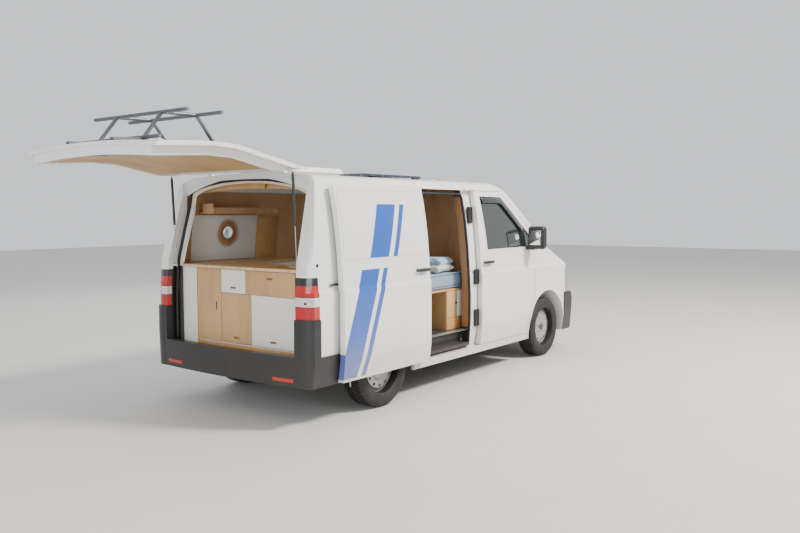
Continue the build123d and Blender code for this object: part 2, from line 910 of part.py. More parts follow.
# Cab doors with their glass and mirrors
mirror_station = 2560
mirror_half_height = 125
for side, tag in ((1, "left"), (-1, "right")):
    zone_y = mirrored_range(side, 640, far)
    with BuildPart() as cab_door:
        add(shell)
        add(side_prism(cab_door_outline, *zone_y), mode=Mode.INTERSECT)
        add(wheel_disc(front_axle_x, front_arch_clear, *zone_y), mode=Mode.SUBTRACT)
        add(side_prism(cab_window_outline, *zone_y), mode=Mode.SUBTRACT)
        add(screen_cut, mode=Mode.SUBTRACT)
        add(roof_cut, mode=Mode.SUBTRACT)
        add(hinge_barrels(side, True, barrel_radius + barrel_clearance), mode=Mode.SUBTRACT)
        add(hinge_barrels(side, False, barrel_radius))
        add(door_handle(cab_door_rear + 130, side))
    save(cab_door.part, f"cab_door_{tag}")
    with BuildPart() as cab_glass:
        add(glass_outer)
        add(glass_inner, mode=Mode.SUBTRACT)
        add(side_prism(cab_window_outline, *zone_y, -glass_gap), mode=Mode.INTERSECT)
    save(cab_glass.part, f"cab_glass_{tag}")
    with BuildPart() as mirror_part:
        with BuildSketch(Plane.XZ.offset(-side * 1040)):
            with Locations((at(mirror_station), 1375)):
                RectangleRounded(105, 2 * mirror_half_height, 45)
        extrude(amount=90, both=True)
        fillet(mirror_part.edges().group_by(Axis.Y)[0 if side < 0 else -1], 30)
        with BuildSketch(Plane.XZ.offset(-side * 955)):
            with Locations((at(mirror_station + 10), 1262)):
                RectangleRounded(110, 38, 12)
        extrude(amount=48, both=True)
        with BuildSketch(Plane.XZ.offset(-side * 975)):
            with Locations((at(mirror_station + 5), 1280)):
                Rectangle(60, 60)
        extrude(amount=22, both=True)
        add(outer, mode=Mode.SUBTRACT)
    save(mirror_part.part, f"mirror_{tag}")

# Sliding door, pushed out and back
track_face = 927.2
with BuildPart() as slide_door:
    add(shell)
    add(side_prism(slide_outline, -far, -640), mode=Mode.INTERSECT)
    # Arm of the middle roller, up to the track on the rear quarter
    add(
        block(
            at(slide_door_rear + 10),
            at(slide_door_rear + 50),
            -body_half_width + wall - 5,
            slide_out - track_face - seat_gap,
            track_groove_z - 12,
            track_groove_z + 12,
        )
    )
    add(door_handle(slide_door_rear + slide_door_width - 125, -1))
    add(
        blank_groove(slide_door_rear + 26, slide_door_rear + slide_door_width - 26, -1),
        mode=Mode.SUBTRACT,
    )
save(slide_door.part.moved(Location((-slide_open, -slide_out, 0))), "sliding_door")

# Tailgate, drawn shut and then raised about its hinge
hinge = Axis((hinge_x, 0, hinge_z), (0, 1, 0))
gate_pin_shut = (at(-718), 1815)
rim_half = tailgate_half_width - tailgate_rim_inset
rim_top_half = tailgate_top_half - tailgate_rim_inset
rim_width = 38
rim_top = 1915
gate_window_low = 1300
gate_window_high = 1790
before_hinge = block(tail_x, hinge_x - panel_gap / 2, -far, far, 300, 2200)


def gate_window(gap):
    """Window outline of the tailgate, drawn in by a gap, as a prism along X."""
    with BuildPart() as prism:
        with BuildSketch(Plane.YZ.offset(at(-1100))):
            with BuildLine():
                Polyline(
                    (-640 + gap, gate_window_low + gap),
                    (640 - gap, gate_window_low + gap),
                    (585 - gap, gate_window_high - gap),
                    (-585 + gap, gate_window_high - gap),
                    close=True,
                )
            make_face()
            fillet(vertices(), 60)
        extrude(amount=500)
    return prism.part


def gate_inside(depth):
    """The body's form set in by a depth from the tail and by the skin from the roof."""
    return tail_form.moved(Location((depth, 0, -gate_roof_skin)))


with BuildPart() as gate_skin:
    add(tail_form)
    add(gate_inside(tailgate_skin), mode=Mode.SUBTRACT)
    add(
        rear_outline(
            tailgate_half_width, tailgate_top_half, tailgate_bottom, roof_top + 40, 40
        ),
        mode=Mode.INTERSECT,
    )
    add(before_hinge, mode=Mode.INTERSECT)
    add(gate_window(0), mode=Mode.SUBTRACT)
with BuildPart() as gate_rim:
    add(gate_inside(tailgate_skin))
    add(gate_inside(tailgate_depth), mode=Mode.SUBTRACT)
    add(rear_outline(rim_half, rim_top_half, tailgate_bottom + 8, rim_top, 26), mode=Mode.INTERSECT)
    add(
        rear_outline(
            rim_half - rim_width,
            rim_top_half - rim_width,
            tailgate_bottom + 8 + rim_width,
            rim_top - rim_width,
            26,
        ),
        mode=Mode.SUBTRACT,
    )
    add(before_hinge, mode=Mode.INTERSECT)
with BuildPart() as tailgate:
    add(gate_skin.part)
    add(gate_rim.part)
    add(gate_hinges(gate_hinge_y[0], gate_hinge_y[1], -40, -4))
    for side in (1, -1):
        stud_from, stud_to = mirrored_range(side, 680, strut_y - 11.3)
        with BuildSketch(Plane.XZ.offset(-stud_to)):
            with Locations(gate_pin_shut):
                Circle(7)
        extrude(amount=stud_to - stud_from)
    # Grip moulding above the number plate
    grip = [(at(-986), 1004), (at(-950), 1000), (at(-950), 1052), (at(-978), 1046)]
    add(side_prism(grip, -225, 225))
save(tailgate.part.rotate(hinge, tailgate_open), "tailgate")

with BuildPart() as gate_glass:
    add(glass_outer)
    add(glass_inner, mode=Mode.SUBTRACT)
    add(gate_window(glass_gap), mode=Mode.INTERSECT)
    add(before_hinge, mode=Mode.INTERSECT)
save(gate_glass.part.rotate(hinge, tailgate_open), "tailgate_glass")

latch_half = 42
latch_height = 105
with BuildPart() as gate_lining:
    add(gate_inside(tailgate_depth - 8 - lining_thickness))
    add(gate_inside(tailgate_depth - 8), mode=Mode.SUBTRACT)
    add(
        rear_outline(
            rim_half - rim_width - 1,
            rim_top_half - rim_width - 1,
            tailgate_bottom + 9 + rim_width,
            rim_top - 1 - rim_width,
            26,
        ),
        mode=Mode.INTERSECT,
    )
    add(block(tail_x, at(-735), -far, far, 300, 2200), mode=Mode.INTERSECT)
    add(
        block(tail_x, at(0), -latch_half, latch_half, 500, tailgate_bottom + 60 + latch_height),
        mode=Mode.SUBTRACT,
    )
save(gate_lining.part.rotate(hinge, tailgate_open), "tailgate_lining")

# Bicycle carrier on the tailgate: two hooped side frames, cross tubes and channels
carrier_y = 270
carrier_tube = 14
carrier_feet = (1504, 836)
carrier_back = ((-1150, 1317), (-1166, 1015))
carrier_top_x = -888
carrier_foot_x = -976
with BuildPart() as carrier:
    for side in (1, -1):
        with BuildLine(Plane.XZ.offset(-side * carrier_y)) as hoop:
            FilletPolyline(
                (at(carrier_top_x), carrier_feet[0]),
                (at(carrier_back[0][0]), carrier_back[0][1]),
                (at(carrier_back[1][0]), carrier_back[1][1]),
                (at(carrier_foot_x), carrier_feet[1]),
                radius=45,
            )
        with BuildSketch(Plane(hoop.line @ 0, z_dir=hoop.line % 0)):
            Circle(carrier_tube)
        sweep(path=hoop.line)
        with BuildSketch(Plane.XZ.offset(-side * carrier_y)):
            with BuildLine():
                Polyline(
                    (at(-990), tailgate_bottom + 20),
                    (at(-969.5), tailgate_bottom + 20),
                    (at(-967.6), 860),
                    (at(-985), 900),
                    close=True,
                )
            make_face()
        extrude(amount=22, both=True)
    for back_x, back_z in carrier_back:
        with BuildSketch(Plane.XZ.offset(-560)):
            with Locations((at(back_x), back_z)):
                Circle(carrier_tube)
        extrude(amount=1120)
    for foot_x, foot_z in ((-899, carrier_feet[0]), (-988, carrier_feet[1])):
        with BuildSketch(Plane.XZ.offset(-470)):
            with Locations((at(foot_x), foot_z)):
                Circle(carrier_tube)
        extrude(amount=940)
save(carrier.part.rotate(hinge, tailgate_open), "bike_carrier")

# Gas struts: rods pinned low on the body, tubes sliding on them up to the tailgate
rod_radius = 4
tube_radius = 11
tube_bore = 4.5
tube_length = 430
rod_length = 580
tube_end = 12
swing = math.radians(tailgate_open)
arm_x = gate_pin_shut[0] - hinge_x
arm_z = gate_pin_shut[1] - hinge_z
gate_pin_open = (
    hinge_x + arm_x * math.cos(swing) + arm_z * math.sin(swing),
    hinge_z - arm_x * math.sin(swing) + arm_z * math.cos(swing),
)


def strut_line(top_pin):
    """Length and lean, in degrees, of a strut from its rod pin to the tailgate pin."""
    dx = top_pin[0] - rod_pin[0]
    dz = top_pin[1] - rod_pin[1]
    return math.hypot(dx, dz), math.degrees(math.atan2(dx, dz))


open_length, open_lean = strut_line(gate_pin_open)
shut_length, shut_lean = strut_line(gate_pin_shut)
print("strut", open_length, open_lean, shut_length, shut_lean, gate_pin_open, rod_pin, hinge_x)
lean = math.radians(open_lean)
strut_dir = (math.sin(lean), 0, math.cos(lean))
with BuildPart() as rods:
    for side in (1, -1):
        base = (rod_pin[0], side * strut_y, rod_pin[1])
        with BuildSketch(Plane(origin=base, z_dir=strut_dir)):
            Circle(rod_radius)
        extrude(amount=rod_length)
        with BuildSketch(Plane(origin=base, z_dir=strut_dir).offset(-9)):
            Circle(8)
        extrude(amount=18)
save(rods.part, "strut_rods")
with BuildPart() as tubes:
    for side in (1, -1):
        base = (rod_pin[0], side * strut_y, rod_pin[1])
        tube_plane = Plane(origin=base, z_dir=strut_dir).offset(open_length - tube_length)
        with BuildSketch(tube_plane):
            Circle(tube_radius)
        extrude(amount=tube_length - 20 - tube_end)
        with BuildSketch(tube_plane.offset(tube_length - 22 - tube_end)):
            Circle(7)
        extrude(amount=22)
        with BuildSketch(tube_plane.offset(-1)):
            Circle(tube_bore)
        extrude(amount=tube_length - 30 - tube_end, mode=Mode.SUBTRACT)
save(tubes.part, "strut_tubes")

# Wheels and tyres
hub_radius = 34
disc_face = 40
tyre_clearance = 0.3
bead = rim_radius + tyre_clearance
hub_end = disc_face - 10.3
hub_pin_radius = hub_radius - 0.5
half = tyre_width / 2
seat = rim_width / 2
# A flat-sided section from bead to tread; columns: radius, distance from the tyre's middle
tyre_profile = (
    (bead, seat),
    (rim_radius + 28, half - 6),
    (rim_radius + 62, half),
    (tyre_radius - 22, half - 9),
    (tyre_radius - 6, half - 19),
    (tyre_radius, half - 34),
)
for tag, station, side in (
    ("front_left", wheelbase, 1),
    ("front_right", wheelbase, -1),
    ("rear_left", 0, 1),
    ("rear_right", 0, -1),
):
    wheel_plane = Plane(
        origin=(at(station), side * wheel_y, tyre_radius), x_dir=(1, 0, 0), z_dir=(0, side, 0)
    )
    spin = Axis((at(station), side * wheel_y, tyre_radius), (0, side, 0))
    profile_plane = Plane(
        origin=(at(station), side * wheel_y, tyre_radius), x_dir=(1, 0, 0), z_dir=(0, 0, 1)
    )
    s = side
    with BuildPart() as tyre:
        with BuildSketch(profile_plane):
            with BuildLine():
                Polyline(
                    *[(radius, s * out) for radius, out in tyre_profile],
                    *[(radius, -s * out) for radius, out in reversed(tyre_profile)],
                    close=True,
                )
            make_face()
        revolve(axis=spin)
    save(tyre.part, f"tyre_{tag}")
    with BuildPart() as rim:
        with BuildSketch(profile_plane):
            with BuildLine():
                Polyline(
                    (rim_radius, -s * seat),
                    (rim_radius, s * seat),
                    (rim_radius - 5, s * seat),
                    (rim_radius - 12, s * (seat - 14)),
                    (rim_radius - 30, s * (seat - 30)),
                    (rim_radius - 40, s * (disc_face + 2)),
                    (120, s * (disc_face + 12)),
                    (86, s * (disc_face - 2)),
                    (70, s * (disc_face - 2)),
                    (hub_radius, s * (disc_face + 6)),
                    (hub_radius, s * (disc_face - 2)),
                    (66, s * (disc_face - 10)),
                    (90, s * (disc_face - 10)),
                    (122, s * (disc_face + 4)),
                    (rim_radius - 46, s * (disc_face - 10)),
                    (rim_radius - 36, s * (seat - 60)),
                    (rim_radius - 14, s * (seat - 90)),
                    (rim_radius - 14, -s * (seat - 10)),
                    (rim_radius - 6, -s * seat),
                    close=True,
                )
            make_face()
        revolve(axis=spin)
        with BuildSketch(wheel_plane):
            with PolarLocations(152, 12):
                Circle(13)
        extrude(amount=90, both=True, mode=Mode.SUBTRACT)
    save(rim.part, f"wheel_{tag}")

# Steering knuckles with their brake discs
king_pin_y = wheel_y - king_pin_inset
damper_y = king_pin_y - 130
damper_top = tyre_radius + arch_radius - 0.9
arm_top = tyre_radius - 122
lug_top = tyre_radius + 62
for side, tag in ((1, "left"), (-1, "right")):
    with BuildPart() as knuckle:
        for reach_from, reach_to, radius in (
            (king_pin_y - 34, king_pin_y + 6, 62),
            (king_pin_y + 8, king_pin_y + 30, 138),
            (king_pin_y + 4, wheel_y + hub_end, 50),
            (king_pin_y + 4, wheel_y + disc_face + 20, hub_pin_radius),
        ):
            add(wheel_disc(front_axle_x, radius, *mirrored_range(side, reach_from, reach_to)))
        add(
            block(
                front_axle_x - 18,
                front_axle_x + 18,
                *mirrored_range(side, king_pin_y - 32, king_pin_y - 2),
                arm_top + seat_gap,
                tyre_radius + 60,
            )
        )
        add(
            block(
                front_axle_x - 17,
                front_axle_x + 17,
                *mirrored_range(side, damper_y - 20, king_pin_y - 4),
                lug_top - 22,
                lug_top,
            )
        )
    save(knuckle.part, f"knuckle_{tag}")

# Front subframe with lower arms and dampers
with BuildPart() as front_axle:
    add(block(front_axle_x - 160, front_axle_x + 160, -395, 395, 225, 285))
    for side in (1, -1):
        add(
            block(
                front_axle_x - 19,
                front_axle_x + 19,
                *mirrored_range(side, 380, king_pin_y - 4),
                arm_top - 20,
                arm_top,
            )
        )
        add(block(front_axle_x - 150, front_axle_x + 150, *mirrored_range(side, 360, 394), 194, 230))
        with BuildSketch(Plane.XY.offset(lug_top + seat_gap)):
            with Locations((front_axle_x, side * damper_y)):
                Circle(24)
        extrude(amount=damper_top - lug_top - seat_gap)
        with BuildSketch(Plane.XY.offset(tyre_radius + 190)):
            with Locations((front_axle_x, side * damper_y)):
                Circle(56)
        extrude(amount=18)
        add(block(front_axle_x - 120, front_axle_x - 80, *mirrored_range(side, 396, 440), 250, 360))
        add(block(front_axle_x + 80, front_axle_x + 120, *mirrored_range(side, 396, 440), 250, 360))
        add(block(front_axle_x - 120, front_axle_x + 120, *mirrored_range(side, 380, 440), 250, 262))
save(front_axle.part, "front_axle")

# Rear trailing arms, cross tube and brake drums
with BuildPart() as rear_axle:
    for side in (1, -1):
        for reach_from, reach_to, radius in (
            (wheel_y - 74, wheel_y + 10, 122),
            (wheel_y - 74, wheel_y + hub_end, 50),
            (wheel_y - 74, wheel_y + disc_face + 20, hub_pin_radius),
            (wheel_y - 150, wheel_y - 60, 46),
        ):
            add(wheel_disc(at(0), radius, *mirrored_range(side, reach_from, reach_to)))
        add(
            block(at(-40), at(470), *mirrored_range(side, wheel_y - 230, wheel_y - 150), 290, 360)
        )
        add(block(at(-40), at(60), *mirrored_range(side, wheel_y - 230, wheel_y - 110), 292, 358))
        add(block(at(400), at(470), *mirrored_range(side, 395, wheel_y - 150), 290, 358))
        with BuildSketch(Plane.XY.offset(355)):
            with Locations((at(-10), side * (wheel_y - 262))):
                Circle(45)
        extrude(amount=load_floor - floor_thickness - 355)
        add(block(at(-60), at(50), *mirrored_range(side, wheel_y - 310, wheel_y - 180), 330, 356))
    add(block(at(395), at(470), -480, 480, 300, 357))
save(rear_axle.part, "rear_axle")

# Engine, exhaust and fuel tank
engine_rear = 2960
with BuildPart() as engine:
    add(block(at(engine_rear), at(3540), -340, 340, 292, 900))
    add(block(at(3260), at(3340), -452 + seat_gap, 452 - seat_gap, 560, 620))
save(engine.part, "engine")

pipe_z = 345
with BuildPart() as exhaust:
    with BuildLine(Plane.XY.offset(pipe_z)) as pipe_line:
        FilletPolyline(
            (at(engine_rear) - seat_gap, 150), (at(2600), 150), (at(2300), 260), (at(700), 260), radius=120
        )
    with BuildSketch(Plane(pipe_line.line @ 0, z_dir=pipe_line.line % 0)):
        Circle(27)
    sweep(path=pipe_line.line)
    with BuildSketch(Plane.YZ.offset(at(700))):
        with Locations((260, pipe_z)):
            SlotCenterToCenter(90, 130)
    extrude(amount=-230)
save(exhaust.part, "exhaust")

with BuildPart() as tank:
    with BuildSketch(Plane.XY.offset(262)):
        with Locations((at(1900), -120)):
            RectangleRounded(700, 440, 60)
    extrude(amount=load_floor - floor_thickness - 262)
save(tank.part, "fuel_tank")

# Cab: seats, dashboard and steering wheel
seat_y = 430
seat_half = 245
seat_station = 1850
with BuildPart() as seats:
    for side in (1, -1):
        with BuildSketch(Plane.XZ.offset(-(side * seat_y + seat_half))):
            with BuildLine():
                Polyline(
                    (at(seat_station), 740),
                    (at(seat_station + 40), 720),
                    (at(seat_station + 520), 770),
                    (at(seat_station + 530), 850),
                    (at(seat_station + 470), 880),
                    (at(seat_station + 120), 850),
                    (at(seat_station - 60), 1390),
                    (at(seat_station - 150), 1390),
                    (at(seat_station - 160), 1340),
                    close=True,
                )
            make_face()
        extrude(amount=2 * seat_half)
        with BuildSketch(Plane.XZ.offset(-(side * seat_y + 130))):
            with BuildLine():
                Polyline(
                    (at(seat_station - 95), 1400),
                    (at(seat_station - 60), 1430),
                    (at(seat_station - 92), 1610),
                    (at(seat_station - 180), 1610),
                    (at(seat_station - 165), 1400),
                    close=True,
                )
            make_face()
        extrude(amount=260)
        with BuildSketch(Plane.XZ.offset(-(side * seat_y + 80))):
            with Locations((at(seat_station - 125), 1385)):
                Rectangle(14, 60)
        extrude(amount=12)
        with BuildSketch(Plane.XZ.offset(-(side * seat_y - 68))):
            with Locations((at(seat_station - 125), 1385)):
                Rectangle(14, 60)
        extrude(amount=12)
        add(
            block(
                at(seat_station + 20),
                at(seat_station + 440),
                *(side * seat_y - 200, side * seat_y + 200),
                load_floor,
                735,
            )
        )
save(seats.part, "cab_seats")

wheel_centre = Vector(at(2330), 430, 1085)
column_dir = Vector(-0.88, 0, 0.47)
with BuildPart() as dashboard:
    with BuildSketch(Plane.XZ.offset(-800)):
        with BuildLine():
            Polyline(
                (at(bulkhead_x) - seat_gap, 700),
                (at(bulkhead_x) - seat_gap, 1205),
                (at(bulkhead_x - 130), 1210),
                (at(bulkhead_x - 280), 1150),
                (at(bulkhead_x - 300), 1040),
                (at(bulkhead_x - 210), 760),
                (at(bulkhead_x - 120), 700),
                close=True,
            )
        make_face()
    extrude(amount=1600)
    steer_plane = Plane(origin=wheel_centre, z_dir=column_dir)
    with BuildSketch(steer_plane.offset(-260)):
        Circle(32)
    extrude(amount=250)
    with BuildSketch(steer_plane.offset(-14)):
        Circle(62)
    extrude(amount=28)
    with BuildSketch(steer_plane.offset(-8)):
        with PolarLocations(110, 3, start_angle=-30):
            Rectangle(140, 34)
    extrude(amount=14)
    with BuildSketch(Plane(origin=wheel_centre, x_dir=(0, 1, 0), z_dir=(0.47, 0, 0.88))):
        with Locations((185, 0)):
            Circle(15)
    revolve(axis=Axis(wheel_centre, column_dir))
save(dashboard.part, "dashboard")

# Kitchen across the tail: carcass, one tall door, four drawers
face = at(kitchen_face)
carcass_back = face + board + kitchen_depth
tall_left = 535
tall_right = 222
drawer_split = -85
lower_split = -148
row_split = 985
front_low = kitchen_base + kitchen_gap
front_high = kitchen_top - kitchen_gap
# columns: name, right y, left y, low z, high z
fronts = [
    ("drawer_small", drawer_split, tall_right, row_split, front_high),
    ("drawer_wide", kitchen_right, drawer_split, row_split, front_high),
    ("drawer_low_left", lower_split, tall_right, front_low, row_split),
    ("drawer_low_right", kitchen_right, lower_split, front_low, row_split),
]
with BuildPart() as carcass:
    add(
        block(face + board, carcass_back, kitchen_right - board, kitchen_left, load_floor, kitchen_top)
    )
    bays = [
        (tall_left + kitchen_gap, kitchen_left - board, kitchen_base, kitchen_top - board),
        (tall_right + board / 2, tall_left - board / 2, kitchen_base, kitchen_top - board),
        (drawer_split + board / 2, tall_right - board / 2, row_split + board / 2, kitchen_top - board),
        (kitchen_right, drawer_split - board / 2, row_split + board / 2, kitchen_top - board),
        (lower_split + board / 2, tall_right - board / 2, kitchen_base, row_split - board / 2),
        (kitchen_right, lower_split - board / 2, kitchen_base, row_split - board / 2),
    ]
    for right_y, left_y, low_z, high_z in bays[1:]:
        add(
            block(face, carcass_back - board, right_y, left_y, low_z, high_z),
            mode=Mode.SUBTRACT,
        )
    add(block(face, face + board, tall_left + kitchen_gap, kitchen_left, load_floor, kitchen_top))
    # Side unit along the left wall
    side_unit_low = tyre_radius + arch_radius + house_skin + 6
    add(block(carcass_back, at(side_unit_front), side_unit_inner, 790, side_unit_low, kitchen_top))
    add(
        block(at(420 + house_skin + 16), at(side_unit_front), side_unit_inner, 790, load_floor, side_unit_low)
    )
    add(rear_surround.part, mode=Mode.SUBTRACT)
save(carcass.part, "kitchen_carcass")

slot_length = 70
slot_height = 18
for name, right_y, left_y, low_z, high_z in fronts:
    y0 = right_y + kitchen_gap / 2
    y1 = left_y - kitchen_gap / 2
    z0 = low_z + kitchen_gap / 2
    z1 = high_z - kitchen_gap / 2
    slot_z = z1 - 55 if name == "drawer_wide" else z0 + 45
    with BuildPart() as drawer:
        add(block(face, face + board, y0, y1, z0, z1))
        bay_y0 = kitchen_right if right_y == kitchen_right else right_y + board / 2
        bay_y1 = left_y - board / 2
        box_y0 = bay_y0 + 12
        box_y1 = bay_y1 - 12
        box_z0 = z0 + 16
        box_z1 = z1 - 30
        box_back = carcass_back - board - 8
        add(block(face + board, box_back, box_y0, box_y1, box_z0, box_z1))
        add(
            block(
                face + board + 0.5,
                box_back,
                bay_y0 + 0.5,
                bay_y1 - 0.5,
                box_z0 + 30,
                box_z0 + 44,
            )
        )
        add(
            block(face + board, box_back - 12, box_y0 + 12, box_y1 - 12, box_z0 + 12, box_z1 + 1),
            mode=Mode.SUBTRACT,
        )
        with BuildSketch(Plane.YZ.offset(face - 1)):
            with Locations(((y0 + y1) / 2, slot_z)):
                SlotOverall(slot_length, slot_height)
        extrude(amount=board - 4, mode=Mode.SUBTRACT)
    save(drawer.part, f"kitchen_{name}")

with BuildPart() as tall_door:
    add(
        block(
            face,
            face + board,
            tall_right + kitchen_gap / 2,
            tall_left - kitchen_gap / 2,
            front_low,
            front_high,
        )
    )
    with BuildSketch(Plane.YZ.offset(face - 1)):
        with Locations((tall_right + 62, 868)):
            SlotOverall(slot_length, slot_height, rotation=90)
    extrude(amount=board - 4, mode=Mode.SUBTRACT)
save(tall_door.part, "kitchen_tall_door")

# Worktop with sink and tap
sink_x = face + 215
sink_y = -420
with BuildPart() as worktop:
    with BuildSketch(Plane.XY.offset(kitchen_top)):
        with BuildLine():
            Polyline(
                (face - 12, kitchen_right - board - 20),
                (carcass_back + 12, kitchen_right - board - 20),
                (carcass_back + 12, side_unit_inner - 12),
                (at(side_unit_front + 10), side_unit_inner - 12),
                (at(side_unit_front + 10), 798),
                (face + 40, 798),
                (face + 40, kitchen_left - 10),
                (face - 12, kitchen_left - 10),
                close=True,
            )
        make_face()
    extrude(amount=worktop_thickness)
    with BuildSketch(Plane.XY.offset(kitchen_top + worktop_thickness)):
        with Locations((sink_x, sink_y)):
            RectangleRounded(250, 330, 40)
    extrude(amount=-18, mode=Mode.SUBTRACT)
    with BuildSketch(Plane.XY.offset(kitchen_top + worktop_thickness)):
        with Locations((sink_x + 140, sink_y - 60)):
            Circle(16)
    extrude(amount=130)
    with BuildSketch(Plane.XZ.offset(-(sink_y - 60) - 0)):
        with Locations((sink_x + 75, kitchen_top + worktop_thickness + 118)):
            Circle(9)
    with BuildSketch(Plane.YZ.offset(sink_x + 10)):
        with Locations((sink_y - 60, kitchen_top + worktop_thickness + 118)):
            Circle(9)
    extrude(amount=130)
save(worktop.part, "worktop")

# Wooden wall lining and shelf
shelf_z = 1652
# Rear edge of the lining, ahead of the shut tailgate and of the struts beside it
lining_rear = [
    (at(-900), 1480),
    (at(-758), 1480),
    (at(-758), 1560),
    (at(-680), 1852),
    (at(-900), 1852),
]
with BuildPart() as wall_lining:
    add(lining_outer)
    add(lining_inner, mode=Mode.SUBTRACT)
    lined = block(at(-760), at(pillar_rear - 2), 300, far, side_unit_low + 6, 1850)
    lined = lined + block(at(-760), at(slide_door_rear + 15), -far, -300, side_unit_low + 6, 1850)
    add(lined, mode=Mode.INTERSECT)
    add(side_prism(lining_rear, -far, far), mode=Mode.SUBTRACT)
    add(rear_surround.part, mode=Mode.SUBTRACT)
    add(carcass.part, mode=Mode.SUBTRACT)
    add(worktop.part, mode=Mode.SUBTRACT)
    add(block(at(-560), at(240), 600, 900, shelf_z, shelf_z + board) & lining_outer)
    add(block(at(-560), at(240), 588, 600, shelf_z, shelf_z + 55))
    add(block(at(-560), at(-545), 600, 740, shelf_z, shelf_z + 90))
save(wall_lining.part, "wall_lining")

# Bed
board_z = bed_top - mattress_thickness - seat_gap
with BuildPart() as bed_base:
    add(block(at(bed_rear), at(bed_front), bed_right + 10, bed_left, board_z - bed_board, board_z))
    add(
        block(
            at(bed_box_rear),
            at(bed_front - 10),
            bed_right + 15,
            bed_left - 10,
            load_floor,
            board_z - bed_board,
        )
    )
    add(block(at(bed_rear + 10), at(560), -580, -562, load_floor, board_z - bed_board))
    add(block(at(bed_rear + 10), at(560), bed_left - 40, bed_left - 22, load_floor, board_z - bed_board))
save(bed_base.part, "bed_base")

with BuildPart() as mattress:
    with BuildSketch(Plane.XY.offset(board_z + seat_gap)):
        with Locations((at((bed_rear + bed_front) / 2), (bed_right + bed_left) / 2)):
            RectangleRounded(bed_front - bed_rear, bed_left - bed_right, 60)
    extrude(amount=mattress_thickness)
    fillet(mattress.faces().filter_by(Axis.Z).edges(), 30)
save(mattress.part, "mattress")

# columns: station, y, length, width, turn
pillow_rows = [(1230, -520, 400, 460, 8), (1000, 60, 400, 560, -6)]
with BuildPart() as pillows:
    for station, y, length, width, turn in pillow_rows:
        with BuildSketch(Plane.XY.offset(bed_top + seat_gap)):
            with Locations((at(station), y)):
                RectangleRounded(length, width, 60, rotation=turn)
        extrude(amount=130)
    fillet(pillows.faces().filter_by(Axis.Z).edges(), 45)
save(pillows.part, "pillows")
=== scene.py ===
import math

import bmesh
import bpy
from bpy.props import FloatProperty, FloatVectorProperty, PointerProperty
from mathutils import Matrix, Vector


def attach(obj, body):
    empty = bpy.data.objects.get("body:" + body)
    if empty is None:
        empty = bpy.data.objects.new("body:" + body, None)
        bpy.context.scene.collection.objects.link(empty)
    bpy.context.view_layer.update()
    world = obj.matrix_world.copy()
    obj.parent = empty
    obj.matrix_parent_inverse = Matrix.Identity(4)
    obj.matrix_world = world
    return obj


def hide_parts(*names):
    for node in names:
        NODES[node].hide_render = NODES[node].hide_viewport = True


bl_info = {
    "name": "Camper van",
    "version": (1, 0, 0),
    "blender": (4, 5, 0),
    "location": "3D view, sidebar, Camper",
    "description": "Dresses the camper van's solids with finishes, trim, bedding and a studio",
    "category": "Object",
}

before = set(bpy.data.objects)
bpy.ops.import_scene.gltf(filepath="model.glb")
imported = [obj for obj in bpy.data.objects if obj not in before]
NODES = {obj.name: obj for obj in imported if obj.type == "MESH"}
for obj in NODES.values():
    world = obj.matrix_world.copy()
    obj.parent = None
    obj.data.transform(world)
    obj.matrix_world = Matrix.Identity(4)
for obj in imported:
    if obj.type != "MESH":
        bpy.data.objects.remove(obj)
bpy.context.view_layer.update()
SEAM = 0.00002  # points nearer than this are one


class CamperFinishSettings(bpy.types.PropertyGroup):
    """Colours of the van's main finishes."""

    white: FloatVectorProperty(
        name="Body white", description="Colour of the body paint",
        subtype="COLOR", size=3, min=0, max=1, default=(0.80, 0.80, 0.785))
    blue: FloatVectorProperty(
        name="Band blue", description="Colour of the bands on the sliding door",
        subtype="COLOR", size=3, min=0, max=1, default=(0.004, 0.085, 0.44))
    dust: FloatVectorProperty(
        name="Dust", description="Colour of the road dust on the lower body",
        subtype="COLOR", size=3, min=0, max=1, default=(0.40, 0.31, 0.21))
    birch: FloatVectorProperty(
        name="Birch", description="Colour of the oiled birch boards",
        subtype="COLOR", size=3, min=0, max=1, default=(0.53, 0.33, 0.15))
    glass_tint: FloatVectorProperty(
        name="Glass tint", description="Colour of the dark window glass",
        subtype="COLOR", size=3, min=0, max=1, default=(0.02, 0.026, 0.024))


class CamperTrimSettings(bpy.types.PropertyGroup):
    """Sizes of the small pieces."""

    seal: FloatProperty(
        name="Seal width", description="Width of the rubber seals that show",
        subtype="DISTANCE", unit="LENGTH", min=0.004, max=0.04, default=0.026)
    tread: FloatProperty(
        name="Tread depth", description="Depth of the grooves in the tyres",
        subtype="DISTANCE", unit="LENGTH", min=0.002, max=0.012, default=0.008)


class CamperSoftSettings(bpy.types.PropertyGroup):
    """How the stuffed pieces swell."""

    pressure: FloatProperty(
        name="Stuffing", description="Pressure that swells the pads and pillows",
        min=0.5, max=12, default=4.0)
    piping: FloatProperty(
        name="Piping", description="Width of the piping round the mattress",
        subtype="DISTANCE", unit="LENGTH", min=0.003, max=0.02, default=0.009)


class CamperStageSettings(bpy.types.PropertyGroup):
    """Floor, light and camera."""

    eye: FloatVectorProperty(
        name="Eye", description="Place of the camera", subtype="XYZ", size=3,
        default=(-6.1241, -5.0325, 1.6645))
    azimuth: FloatProperty(
        name="Azimuth", description="Heading of the view from forward, towards the left",
        subtype="ANGLE", default=math.radians(36.995))
    elevation: FloatProperty(
        name="Elevation", description="Tilt of the view above level",
        subtype="ANGLE", default=math.radians(-3.967))
    roll: FloatProperty(
        name="Roll", description="Turn of the view about its own line",
        subtype="ANGLE", default=math.radians(-0.203))
    lens: FloatProperty(
        name="Lens", description="Focal length on a 36 mm sensor, in millimetres",
        min=10, max=200, default=35.614)


